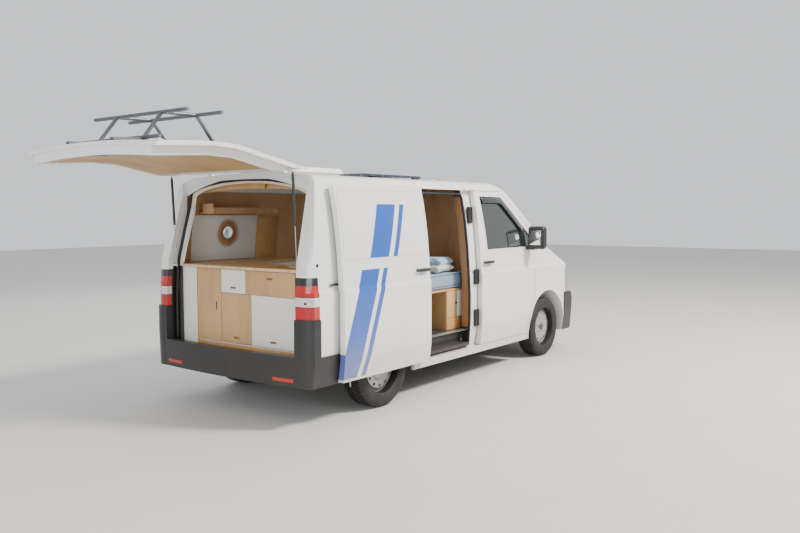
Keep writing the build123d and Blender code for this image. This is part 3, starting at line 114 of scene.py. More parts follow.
def deselect():
    """Leave object mode free of any selection."""
    if bpy.context.object and bpy.context.object.mode != "OBJECT":
        bpy.ops.object.mode_set(mode="OBJECT")
    bpy.ops.object.select_all(action="DESELECT")


# Modelling
def activate(piece):
    """Select one piece alone and make it active."""
    deselect()
    piece.select_set(True)
    bpy.context.view_layer.objects.active = piece
    return piece


def edit(piece, whole=False):
    """Open one piece in edit mode, with the whole of it selected if asked."""
    activate(piece)
    bpy.ops.object.mode_set(mode="EDIT")
    if whole:
        bpy.ops.mesh.select_all(action="SELECT")


def leave():
    """Go back to object mode."""
    bpy.ops.object.mode_set(mode="OBJECT")


def apply_place(piece):
    """Bake a piece's place, turn and size into its mesh."""
    activate(piece)
    bpy.ops.object.transform_apply(location=True, rotation=True, scale=True)
    return piece


def apply_modifiers(piece):
    """Apply a piece's modifiers in their order."""
    activate(piece)
    for name in [step.name for step in piece.modifiers]:
        bpy.ops.object.modifier_apply(modifier=name)
    return piece


def pick(test, kind="FACE"):
    """In edit mode, select the faces or points whose place and normal pass a test."""
    bpy.ops.mesh.select_mode(type=kind)
    bpy.ops.mesh.select_all(action="DESELECT")
    mesh = bpy.context.object.data
    form = bmesh.from_edit_mesh(mesh)
    for item in (form.faces if kind == "FACE" else form.verts):
        spot = item.calc_center_median() if kind == "FACE" else item.co
        if test(spot, item.normal):
            item.select_set(True)
    form.select_flush_mode()
    bmesh.update_edit_mesh(mesh)


def stepped(piece, test, thickness, move):
    """Inset the faces that pass a test and move what is inside."""
    edit(piece)
    pick(test)
    bpy.ops.mesh.inset(thickness=thickness)
    bpy.ops.transform.translate(value=move)
    leave()
    return piece


def nudge(piece, test, value, kind="VERT", about=None):
    """Move what passes a test by value, or scale it by value about a point."""
    edit(piece)
    pick(test, kind)
    if about is None:
        bpy.ops.transform.translate(value=value)
    else:
        bpy.ops.transform.resize(value=value, center_override=about)
    leave()
    return piece


def settle(piece, name, material, body="van", smooth=38):
    """Bake a piece's place, close its seams, finish it and let it ride a body."""
    piece.name = piece.data.name = name
    edit(apply_place(piece), True)
    bpy.ops.mesh.remove_doubles(threshold=SEAM)
    bpy.ops.mesh.normals_make_consistent(inside=False)
    leave()
    bpy.ops.object.shade_smooth_by_angle(angle=math.radians(smooth))
    piece.data.materials.clear()
    piece.data.materials.append(bpy.data.materials[material])
    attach(piece, body)
    return piece


def joined(pieces):
    """One object from several."""
    activate(pieces[0])
    for piece in pieces[1:]:
        piece.select_set(True)
    if len(pieces) > 1:
        bpy.ops.object.join()
    return bpy.context.object


def open_box(middle, size):
    """A plain box about its middle, left open in edit mode with all of it selected."""
    deselect()
    bpy.ops.mesh.primitive_cube_add(size=1, location=middle)
    piece = bpy.context.object
    piece.scale = size
    edit(apply_place(piece), True)
    return piece


def block(low, high, bevel, segments=2):
    """A box between two corners with rounded edges."""
    piece = open_box([(a + b) / 2 for a, b in zip(low, high)],
                     [b - a for a, b in zip(low, high)])
    bpy.ops.mesh.bevel(offset=bevel, segments=segments, affect="EDGES")
    leave()
    return piece


def disc(centre, axis, radius, depth, sides=28, bevel=0.001, dish=0.0):
    """A round piece along an axis, its rims bevelled and its front face dished or raised."""
    deselect()
    bpy.ops.mesh.primitive_cylinder_add(vertices=sides, radius=radius, depth=depth)
    piece = bpy.context.object
    edit(piece)
    if dish:
        pick(lambda spot, normal: normal.z > 0.9)
        bpy.ops.mesh.inset(thickness=radius * 0.22)
        bpy.ops.transform.translate(value=(0, 0, dish))
    bpy.ops.mesh.select_mode(type="EDGE")
    bpy.ops.mesh.select_all(action="DESELECT")
    bpy.ops.mesh.edges_select_sharp(sharpness=math.radians(50))
    bpy.ops.mesh.bevel(offset=bevel, segments=2, affect="EDGES")
    leave()
    turn = Vector((0, 0, 1)).rotation_difference(Vector(axis)).to_matrix().to_4x4()
    piece.matrix_world = Matrix.Translation(Vector(centre)) @ turn
    return apply_place(piece)


def tube(points, radius, closed=False):
    """A round strip along a path, as a mesh."""
    deselect()
    bpy.ops.curve.primitive_bezier_curve_add()
    piece = bpy.context.object
    path = piece.data
    path.dimensions = "3D"
    path.splines.clear()
    line = path.splines.new("POLY")
    line.points.add(len(points) - 1)
    for knot, spot in zip(line.points, points):
        knot.co = (*spot, 1)
    line.use_cyclic_u = closed
    path.bevel_depth = radius
    path.bevel_resolution = 3
    path.use_fill_caps = not closed
    bpy.ops.object.convert(target="MESH")
    return bpy.context.object


def panel(rows, thickness):
    """A curved board through rows of points, thickened outwards from its front."""
    deselect()
    across = len(rows[0])
    bpy.ops.mesh.primitive_grid_add(x_subdivisions=across - 1, y_subdivisions=len(rows) - 1)
    piece = bpy.context.object
    spots = [spot for row in rows for spot in row]
    order = sorted(piece.data.vertices, key=lambda v: (round(v.co.y, 5), round(v.co.x, 5)))
    for vertex, spot in zip(order, spots):
        vertex.co = spot
    wall = piece.modifiers.new("Wall", "SOLIDIFY")
    wall.thickness = thickness
    wall.offset = 0
    rim = piece.modifiers.new("Rim", "BEVEL")
    rim.width = thickness * 0.2
    rim.segments = 2
    return apply_modifiers(piece)


def pad_form(middle, size, cuts, bevel):
    """A closed pillow-like block with enough faces to swell: cuts are per side."""
    piece = open_box(middle, size)
    bpy.ops.mesh.bevel(offset=min(bevel, min(size) * 0.3), segments=3, affect="EDGES")
    for axis, count in enumerate(cuts):
        for step in range(1, count + 1):
            knife = [0, 0, 0]
            knife[axis] = 1
            spot = list(middle)
            spot[axis] += size[axis] * (step / (count + 1) - 0.5)
            bpy.ops.mesh.select_all(action="SELECT")
            bpy.ops.mesh.bisect(plane_co=spot, plane_no=knife)
    leave()
    return piece


def puff(piece, voxel, pressure, cap, frames=20):
    """Swell a closed form by cloth pressure, no point going further than cap."""
    activate(piece)
    piece.data.remesh_voxel_size = voxel
    bpy.ops.object.voxel_remesh()
    scene = bpy.context.scene
    start = [vertex.co.copy() for vertex in piece.data.vertices]
    cloth = piece.modifiers.new("Stuffing", "CLOTH")
    cloth.settings.use_pressure = True
    cloth.settings.uniform_pressure_force = pressure
    cloth.settings.effector_weights.gravity = 0
    cloth.settings.quality = 4
    cloth.point_cache.frame_start = 1
    cloth.point_cache.frame_end = frames
    for number in range(1, frames + 1):
        scene.frame_set(number)
    bpy.ops.object.modifier_apply(modifier="Stuffing")
    for vertex, before in zip(piece.data.vertices, start):
        move = vertex.co - before
        if move.length > cap:
            vertex.co = before + move * (cap / move.length)
    scene.frame_set(1)
    even = piece.modifiers.new("Even", "SMOOTH")
    even.iterations = 4
    finer = piece.modifiers.new("Finer", "SUBSURF")
    finer.levels = finer.render_levels = 1
    return apply_modifiers(piece)


def between(table, height):
    """Value of a two-column table at a height."""
    for (low, a), (high, b) in zip(table, table[1:]):
        if height <= high:
            return a + (b - a) * max(0.0, height - low) / (high - low)
    return table[-1][1]


def evenly(start, reach, steps):
    """Numbers at even steps from a start over a reach, with both ends."""
    return [start + reach * step / steps for step in range(steps + 1)]


def walked(corners, steps, closed=True):
    """Points at even steps from corner to corner, round to the first one if closed."""
    ends = corners[1:] + (corners[:1] if closed else [])
    return [(a0 + (a1 - a0) * t / steps, b0 + (b1 - b0) * t / steps)
            for (a0, b0), (a1, b1) in zip(corners, ends) for t in range(steps)]


# columns: height, then the tail's x amidships, the body's half width, the nose's x
TAIL_LINE = ((0.25, -1.842), (0.62, -1.855), (1.05, -1.850), (1.26, -1.827), (1.87, -1.667),
             (2.02, -1.627))
WIDTH_LINE = ((0.25, 0.91), (0.50, 0.94), (1.035, 0.94), (1.065, 0.928), (1.25, 0.916),
              (1.43, 0.900), (1.60, 0.878), (1.74, 0.853), (1.873, 0.826))
NOSE_LINE = ((0.25, 2.968), (0.62, 3.001), (1.05, 2.798), (1.26, 2.318), (1.87, 1.448),
             (2.02, 1.078))
TAIL_BOW = 0.038  # how far the tail draws forward at its sides
# The tailgate's hinge, and how far it turns from shut to where it rests
TAIL_HINGE = Vector((-1.5965, 0, 1.994))
TAIL_TURN = math.radians(86)
# The wheels' middles, and the steps round a tyre's tread
WHEEL_Y = 0.814
AXLE_Z = 0.336
TREAD_STEPS = 144
# The doors' handles: middle and half height
HANDLE_Z = 1.152
HANDLE_HALF = 0.016
PLATE_ROW = (-0.26, -0.13, 0, 0.13, 0.26)  # points across a plate
SIDES = ((1, "left"), (-1, "right"))


def tail_x(y, z):
    """X of the shut tail's outer face."""
    return between(TAIL_LINE, z) + TAIL_BOW * min(1.0, abs(y) / 0.8) ** 2


def wide(z):
    """Half width of the body at a height."""
    return between(WIDTH_LINE, z)


def screen_x(y, z):
    """X of the nose's outer face, glass and bumper alike."""
    return between(NOSE_LINE, z) - 0.155 * (y / 0.79) ** 2


RAISED = (Matrix.Translation(TAIL_HINGE) @ Matrix.Rotation(TAIL_TURN, 4, "Y")
          @ Matrix.Translation(-TAIL_HINGE))


def lift(piece):
    """Swing a piece drawn on the shut tailgate up to where it rests."""
    piece.matrix_world = RAISED @ piece.matrix_world
    return apply_place(piece)


# Materials
def new_material(name):
    """A material with its output and a Principled shader joined."""
    mat = bpy.data.materials.new(name)
    mat.use_nodes = True
    tree = mat.node_tree
    tree.nodes.clear()
    out = tree.nodes.new("ShaderNodeOutputMaterial")
    out.location = (600, 0)
    skin = tree.nodes.new("ShaderNodeBsdfPrincipled")
    skin.location = (300, 0)
    tree.links.new(skin.outputs["BSDF"], out.inputs["Surface"])
    return mat, tree, skin


def opaque(colour):
    """A colour with its fourth value."""
    return tuple(colour) + (1,) * (4 - len(colour))


def shade(colour, share, more=0.0):
    """A colour made darker or lighter, no part of it over one."""
    return tuple(min(1.0, value * share + more) for value in colour)


def link(tree, source, target):
    """Join an input socket to a source socket, or give it a number or a colour."""
    if isinstance(source, bpy.types.NodeSocket):
        tree.links.new(source, target)
    elif target.type == "RGBA":
        target.default_value = opaque(source)
    else:
        target.default_value = source


def tune(made, **values):
    """Give a node its input values and settings; an underscore may stand for a space."""
    for key, value in values.items():
        label = key.replace("_", " ")
        if label in made.inputs:
            made.inputs[label].default_value = value
        else:
            setattr(made, key, value)
    return made


def node(tree, kind, **values):
    """Add a shader node with its input values and settings."""
    return tune(tree.nodes.new(kind), **values)


def ramp(tree, fac, stops):
    """A colour ramp on a factor; stops are (share, colour)."""
    made = node(tree, "ShaderNodeValToRGB")
    points = made.color_ramp.elements
    while len(points) < len(stops):
        points.new(0.5)
    for point, (share, colour) in zip(points, stops):
        point.position = share
        point.color = opaque(colour)
    link(tree, fac, made.inputs["Fac"])
    return made.outputs["Color"]


def mix(tree, fac, a, b, blend="MIX"):
    """Mix two colours; a and b are sockets or colours."""
    made = node(tree, "ShaderNodeMix", data_type="RGBA", blend_type=blend)
    # A colour Mix node has its factor at 0 and its two colours at 6 and 7
    for value, index in ((fac, 0), (a, 6), (b, 7)):
        link(tree, value, made.inputs[index])
    return made.outputs[2]


def maths(tree, kind, a, b=0.0, clamp=False):
    """A Math node on sockets or numbers."""
    made = node(tree, "ShaderNodeMath", operation=kind, use_clamp=clamp)
    for value, socket in zip((a, b), made.inputs):
        link(tree, value, socket)
    return made.outputs[0]


def times(tree, a, b, clamp=False):
    """One value times another."""
    return maths(tree, "MULTIPLY", a, b, clamp)


def plus(tree, a, b, clamp=False):
    """One value and another."""
    return maths(tree, "ADD", a, b, clamp)


def minus(tree, a, b, clamp=False):
    """One value less another."""
    return maths(tree, "SUBTRACT", a, b, clamp)


def together(tree, kind, masks):
    """Masks taken together: MAXIMUM for any of them, MULTIPLY for all."""
    total = masks[0]
    for mask in masks[1:]:
        total = maths(tree, kind, total, mask)
    return total


def place(tree):
    """Object coordinates."""
    return tree.nodes.new("ShaderNodeTexCoord").outputs["Object"]


def split(tree, vector):
    """The three parts of a vector."""
    made = node(tree, "ShaderNodeSeparateXYZ")
    link(tree, vector, made.inputs[0])
    return made.outputs


def bulb_reach(tree, parts, y, z):
    """Distance from a lamp's bulb, seen from the front or back, on either side."""
    away = minus(tree, maths(tree, "ABSOLUTE", parts["Y"]), y)
    rise = minus(tree, parts["Z"], z)
    return maths(tree, "SQRT", plus(tree, times(tree, away, away), times(tree, rise, rise)))


def roughen(tree, skin, mask, gain, base):
    """Roughness that rises from its base with a mask."""
    link(tree, plus(tree, times(tree, mask, gain), base, True), skin.inputs["Roughness"])


def bump(tree, skin, height, distance, strength):
    """Give a shader a Bump node on a height."""
    made = node(tree, "ShaderNodeBump", Strength=strength, Distance=distance)
    link(tree, height, made.inputs["Height"])
    link(tree, made.outputs["Normal"], skin.inputs["Normal"])


def group(name, inputs, outputs):
    """A node group with named number inputs and outputs, and the sockets at its ends."""
    tree = bpy.data.node_groups.new(name, "ShaderNodeTree")
    for label, default in inputs:
        socket = tree.interface.new_socket(label, in_out="INPUT", socket_type="NodeSocketFloat")
        socket.default_value = default
    for label in outputs:
        tree.interface.new_socket(label, in_out="OUTPUT", socket_type="NodeSocketFloat")
    start = tree.nodes.new("NodeGroupInput")
    end = tree.nodes.new("NodeGroupOutput")
    return tree, start.outputs, end.inputs


def use(tree, name, **values):
    """Place a group in a material."""
    made = node(tree, "ShaderNodeGroup", node_tree=bpy.data.node_groups[name])
    return tune(made, **values).outputs


def noise(tree, vector, scale, detail=3.0, rough=0.5):
    """A noise texture's factor."""
    made = node(tree, "ShaderNodeTexNoise", Detail=detail, Roughness=rough)
    link(tree, scale, made.inputs["Scale"])
    link(tree, vector, made.inputs["Vector"])
    return made.outputs["Fac"]


def stretch(tree, vector, scale, turn=(0, 0, 0)):
    """A Mapping node that stretches and turns coordinates."""
    made = node(tree, "ShaderNodeMapping", Scale=scale, Rotation=turn)
    link(tree, vector, made.inputs["Vector"])
    return made.outputs["Vector"]


def dusted(tree, tone, level, amount):
    """A tone under road dust, with the dust's mask."""
    mask = use(tree, "Road dust", Level=level, Amount=amount)["Mask"]
    return mix(tree, mask, tone, tuple(bpy.context.scene.camper_finish.dust)), mask


def make_groups():
    """The effects that several finishes share."""
    tree, start, end = group("Road dust", [("Level", 0.55), ("Amount", 0.5)], ["Mask"])
    spot = place(tree)
    parts = split(tree, spot)
    clouds = noise(tree, spot, 3.2, 5.0, 0.6)
    specks = noise(tree, spot, 42.0, 4.0, 0.7)
    reach = plus(tree, parts["Z"], times(tree, clouds, -0.55))
    fade = node(tree, "ShaderNodeMapRange", interpolation_type="SMOOTHSTEP", From_Max=-0.15,
                To_Min=0.0, To_Max=1.0)
    link(tree, reach, fade.inputs["Value"])
    link(tree, start["Level"], fade.inputs["From Min"])
    spread = times(tree, fade.outputs[0], plus(tree, specks, 0.35))
    film = times(tree, minus(tree, clouds, 0.42), 0.22, True)
    both = plus(tree, spread, film, True)
    link(tree, times(tree, both, start["Amount"], True), end["Mask"])

    tree, start, end = group("Fine grain", [("Scale", 900.0)], ["Height"])
    cells = node(tree, "ShaderNodeTexVoronoi", feature="SMOOTH_F1")
    link(tree, place(tree), cells.inputs["Vector"])
    link(tree, start["Scale"], cells.inputs["Scale"])
    link(tree, cells.outputs["Distance"], end["Height"])

    tree, start, end = group("Edge wear", [("Scale", 14.0)], ["Mask"])
    patches = noise(tree, place(tree), start["Scale"], 6.0, 0.65)
    link(tree, times(tree, minus(tree, patches, 0.5), 3.0, True), end["Mask"])

    tree, start, end = group("Board grain", [("Scale", 1.0)], ["Tone", "Height"])
    spot = place(tree)
    flame = noise(tree, stretch(tree, spot, (2.2, 5.5, 1.1)), start["Scale"], 3.0, 0.45)
    fibre = noise(tree, stretch(tree, spot, (26.0, 150.0, 7.0)), 1.0, 4.0, 0.6)
    link(tree, plus(tree, times(tree, flame, 0.75), times(tree, fibre, 0.3)), end["Tone"])
    link(tree, fibre, end["Height"])

    tree, start, end = group("Plain weave", [("Pitch", 700.0)], ["Height", "Tone"])
    spot = place(tree)
    parts = split(tree, spot)
    waves = [maths(tree, "SINE", times(tree, parts[axis], start["Pitch"]))
             for axis in ("X", "Y", "Z")]
    cross = times(tree, waves[0], plus(tree, waves[1], waves[2]))
    link(tree, plus(tree, times(tree, cross, 0.25), 0.5), end["Height"])
    link(tree, noise(tree, spot, 55.0, 4.0, 0.6), end["Tone"])


def body_paint(name, colour, dust_level=0.62, bands=False, black=None):
    """Gloss body paint with a film of road dust low down, black inside one box, for a black fitting
    and, on the pillar's face, also painted shade.
    """
    mat, tree, skin = new_material(name)
    base = mix(tree, noise(tree, place(tree), 1.3, 2.0), colour, shade(colour, 0.965))
    if bands:
        base = band_colour(tree, base, tuple(bpy.context.scene.camper_finish.blue))
    tone, dust = dusted(tree, base, dust_level, 0.42)
    rough = plus(tree, times(tree, dust, 0.5), 0.2, True)
    if black:
        fitting_and_shade = box_mask(tree, *black)
        tone = mix(tree, fitting_and_shade, tone, (0.012, 0.012, 0.013))
        rough = plus(tree, rough, times(tree, fitting_and_shade, 0.3), True)
    link(tree, tone, skin.inputs["Base Color"])
    link(tree, rough, skin.inputs["Roughness"])
    tune(skin, Coat_Weight=0.6, Coat_Roughness=0.06)
    bump(tree, skin, noise(tree, place(tree), 380.0, 2.0), 0.0004, 0.12)
    return mat


def band_colour(tree, base, blue):
    """Slanting blue bands over the sliding door's outer face."""
    parts = split(tree, place(tree))
    # Measured across the bands: x, plus the lean times z
    across = plus(tree, parts["X"], times(tree, parts["Z"], -0.36))
    outside = maths(tree, "LESS_THAN", parts["Y"], -0.93)
    bands = []
    # columns: from, to, lowest, highest
    for start, end, low, high in ((-1.70, -1.47, 0.345, 1.20), (-1.42, -1.36, 0.345, 1.20),
                                  (-1.62, -1.37, 1.29, 1.80), (-1.31, -1.25, 1.29, 1.80)):
        limits = (("GREATER_THAN", across, start), ("LESS_THAN", across, end),
                  ("GREATER_THAN", parts["Z"], low), ("LESS_THAN", parts["Z"], high))
        bands.append(together(tree, "MULTIPLY", [maths(tree, *limit) for limit in limits]))
    return mix(tree, times(tree, together(tree, "MAXIMUM", bands), outside), base, blue)


def plastic(name, colour, rough, grain=1100.0, depth=0.0004, dust=0.1):
    """Moulded plastic with a fine grain and some dust."""
    mat, tree, skin = new_material(name)
    tone = mix(tree, noise(tree, place(tree), 6.0, 3.0), colour, shade(colour, 1.25, 0.004))
    tone, cover = dusted(tree, tone, 0.7, dust)
    link(tree, tone, skin.inputs["Base Color"])
    roughen(tree, skin, cover, 0.3, rough)
    bump(tree, skin, use(tree, "Fine grain", Scale=grain)["Height"], depth, 0.35)
    return mat


def metal(name, colour, rough, brushed=(1, 1, 1), dust=0.35, metallic=1.0):
    """Metal with brushing, worn tone and dust."""
    mat, tree, skin = new_material(name)
    worn = use(tree, "Edge wear", Scale=14.0)["Mask"]
    tone = mix(tree, worn, colour, shade(colour, 0.72))
    link(tree, dusted(tree, tone, 0.6, dust)[0], skin.inputs["Base Color"])
    lines = noise(tree, stretch(tree, place(tree), brushed), 60.0, 4.0)
    roughen(tree, skin, lines, 0.2, rough)
    tune(skin, Metallic=metallic)
    bump(tree, skin, lines, 0.0003, 0.2)
    return mat


def box_mask(tree, low, high):
    """One inside a box and nought outside, by place."""
    parts = split(tree, place(tree))
    bands = []
    for axis, a, b in zip("XYZ", low, high):
        band = maths(tree, "COMPARE", parts[axis], (a + b) / 2)
        band.node.inputs[2].default_value = (b - a) / 2
        bands.append(band)
    return together(tree, "MULTIPLY", bands)


def boards(name, colour, dark, rough=0.42, scale=1.0, slot_shade=None):
    """Birch or stained boards, the finger slots and the fronts' edges darkened as painted shade
    where slot_shade says.
    """
    mat, tree, skin = new_material(name)
    grain = use(tree, "Board grain", Scale=scale)
    tone = ramp(tree, grain["Tone"], ((0.34, dark), (0.54, colour), (0.74, shade(colour, 1.12))))
    if slot_shade:
        # Painted shade: the same boards made darker in the finger slots and along the fronts' edges
        tone = mix(tree, box_mask(tree, *slot_shade), tone, shade(dark, 0.62))
    link(tree, tone, skin.inputs["Base Color"])
    roughen(tree, skin, grain["Height"], 0.2, rough)
    bump(tree, skin, grain["Height"], 0.0005, 0.25)
    return mat


def painted_board(name, colour, slot_shade=None):
    """Board with white lacquer, a little uneven, its finger slots bare wood darkened by painted
    shade.
    """
    mat, tree, skin = new_material(name)
    tone = mix(tree, noise(tree, place(tree), 5.0, 4.0), colour, shade(colour, 0.93))
    if slot_shade:
        # Finger slots and front edges: bare wood, partly painted shade
        tone = mix(tree, box_mask(tree, *slot_shade), tone, (0.27, 0.145, 0.06))
    link(tree, tone, skin.inputs["Base Color"])
    roughen(tree, skin, noise(tree, place(tree), 30.0), 0.15, 0.3)
    bump(tree, skin, noise(tree, place(tree), 240.0, 3.0), 0.0004, 0.15)
    return mat


def window_glass(name, colour, alpha):
    """Dark tinted glass that the inside shows through."""
    mat, tree, skin = new_material(name)
    tone = mix(tree, noise(tree, place(tree), 2.0), colour, shade(colour, 0.8))
    link(tree, tone, skin.inputs["Base Color"])
    roughen(tree, skin, use(tree, "Edge wear", Scale=7.0)["Mask"], 0.08, 0.02)
    tune(skin, Alpha=alpha, Specular_IOR_Level=0.8, Coat_Weight=1.0, Coat_Roughness=0.02)
    return mat


def rubber(name, colour, rough, dirty):
    """Rubber of a tyre or a seal, dusty in patches."""
    finish = bpy.context.scene.camper_finish
    mat, tree, skin = new_material(name)
    spot = place(tree)
    patches = minus(tree, noise(tree, spot, 9.0, 5.0, 0.7), 0.42)
    dirt = times(tree, patches, 1.1 * dirty, True)
    link(tree, mix(tree, dirt, colour, shade(finish.dust, 0.3)), skin.inputs["Base Color"])
    roughen(tree, skin, dirt, 0.2, rough)
    bump(tree, skin, noise(tree, spot, 160.0, 4.0), 0.0006, 0.3)
    return mat


def cloth(name, colour):
    """Woven cloth with a soft sheen."""
    mat, tree, skin = new_material(name)
    weave = use(tree, "Plain weave", Pitch=700.0)
    tone = mix(tree, weave["Tone"], shade(colour, 0.75), shade(colour, 1.15))
    link(tree, tone, skin.inputs["Base Color"])
    roughen(tree, skin, weave["Height"], 0.1, 0.8)
    tune(skin, Sheen_Weight=0.4, Sheen_Roughness=0.5)
    bump(tree, skin, weave["Height"], 0.0008, 0.4)
    return mat


def solar_cells(name):
    """Dark cells with thin bright lines under glass."""
    mat, tree, skin = new_material(name)
    grid = node(tree, "ShaderNodeTexBrick", offset=0.0, Color1=(0.006, 0.012, 0.035, 1),
                Color2=(0.010, 0.018, 0.045, 1), Mortar=(0.35, 0.36, 0.38, 1), Scale=1.0,
                Mortar_Size=0.0016, Brick_Width=0.152, Row_Height=0.157)
    link(tree, place(tree), grid.inputs["Vector"])
    link(tree, grid.outputs["Color"], skin.inputs["Base Color"])
    roughen(tree, skin, noise(tree, place(tree), 9.0, 4.0), 0.2, 0.08)
    tune(skin, Coat_Weight=1.0)
    return mat


def lamp_lens(name):
    """The tail lamp's bands of red and clear plastic, by height."""
    mat, tree, skin = new_material(name)
    parts = split(tree, place(tree))
    # The lamp's foot is at 0.845 and it is 0.318 tall
    height = maths(tree, "DIVIDE", minus(tree, parts["Z"], 0.845), 0.318)
    # columns: lower end along the lamp, colour
    tone = ramp(tree, height, ((0.0, (0.44, 0.008, 0.008)), (0.29, (0.03, 0.03, 0.03)),
                               (0.31, (0.68, 0.66, 0.63)), (0.53, (0.03, 0.03, 0.03)),
                               (0.55, (0.48, 0.010, 0.010)), (0.81, (0.012, 0.012, 0.012))))
    tone.node.color_ramp.interpolation = "CONSTANT"
    bulb = maths(tree, "LESS_THAN", bulb_reach(tree, parts, 0.880, 0.970), 0.011)
    tone = mix(tree, bulb, tone, (0.10, 0.02, 0.02))
    prisms = node(tree, "ShaderNodeTexVoronoi", feature="F1", distance="CHEBYCHEV", Scale=180.0,
                  Randomness=0.0)
    link(tree, place(tree), prisms.inputs["Vector"])
    relief = prisms.outputs["Distance"]
    tone = mix(tree, times(tree, relief, 0.5, True), tone, (0.8, 0.7, 0.68), "MULTIPLY")
    link(tree, tone, skin.inputs["Base Color"])
    roughen(tree, skin, relief, 0.1, 0.16)
    tune(skin, Coat_Weight=0.35)
    bump(tree, skin, relief, 0.0006, 0.25)
    return mat


def clear_lens(name):
    """A head lamp's lens, its bowl drawn as a painted reflection and its flutes with painted
    highlights, smoky at the corner.
    """
    mat, tree, skin = new_material(name)
    parts = split(tree, place(tree))
    flutes = node(tree, "ShaderNodeTexWave", wave_type="BANDS", bands_direction="Y", Scale=28.0)
    link(tree, place(tree), flutes.inputs["Vector"])
    ribs = flutes.outputs["Fac"]
    # columns: eight times the distance from the bulb, colour; the bright and grey rings are the
    # bowl's painted reflection
    bowl_reflection = ramp(tree, times(tree, bulb_reach(tree, parts, 0.752, 0.842), 8.0), (
        (0.0, (0.85, 0.86, 0.80)), (0.13, (0.30, 0.31, 0.32)), (0.20, (0.55, 0.57, 0.58)),
        (0.60, (0.72, 0.74, 0.75)), (0.66, (0.05, 0.05, 0.055)), (0.72, (0.42, 0.44, 0.46))))
    corner = maths(tree, "GREATER_THAN", maths(tree, "ABSOLUTE", parts["Y"]), 0.872)
    tone = mix(tree, corner, bowl_reflection, (0.34, 0.31, 0.29))
    # Painted highlights along the lens's flutes
    tone = mix(tree, times(tree, ribs, 0.25), tone, (0.85, 0.87, 0.88))
    link(tree, tone, skin.inputs["Base Color"])
    roughen(tree, skin, ribs, 0.08, 0.08)
    tune(skin, Metallic=0.4, Coat_Weight=1.0)
    bump(tree, skin, ribs, 0.001, 0.2)
    return mat


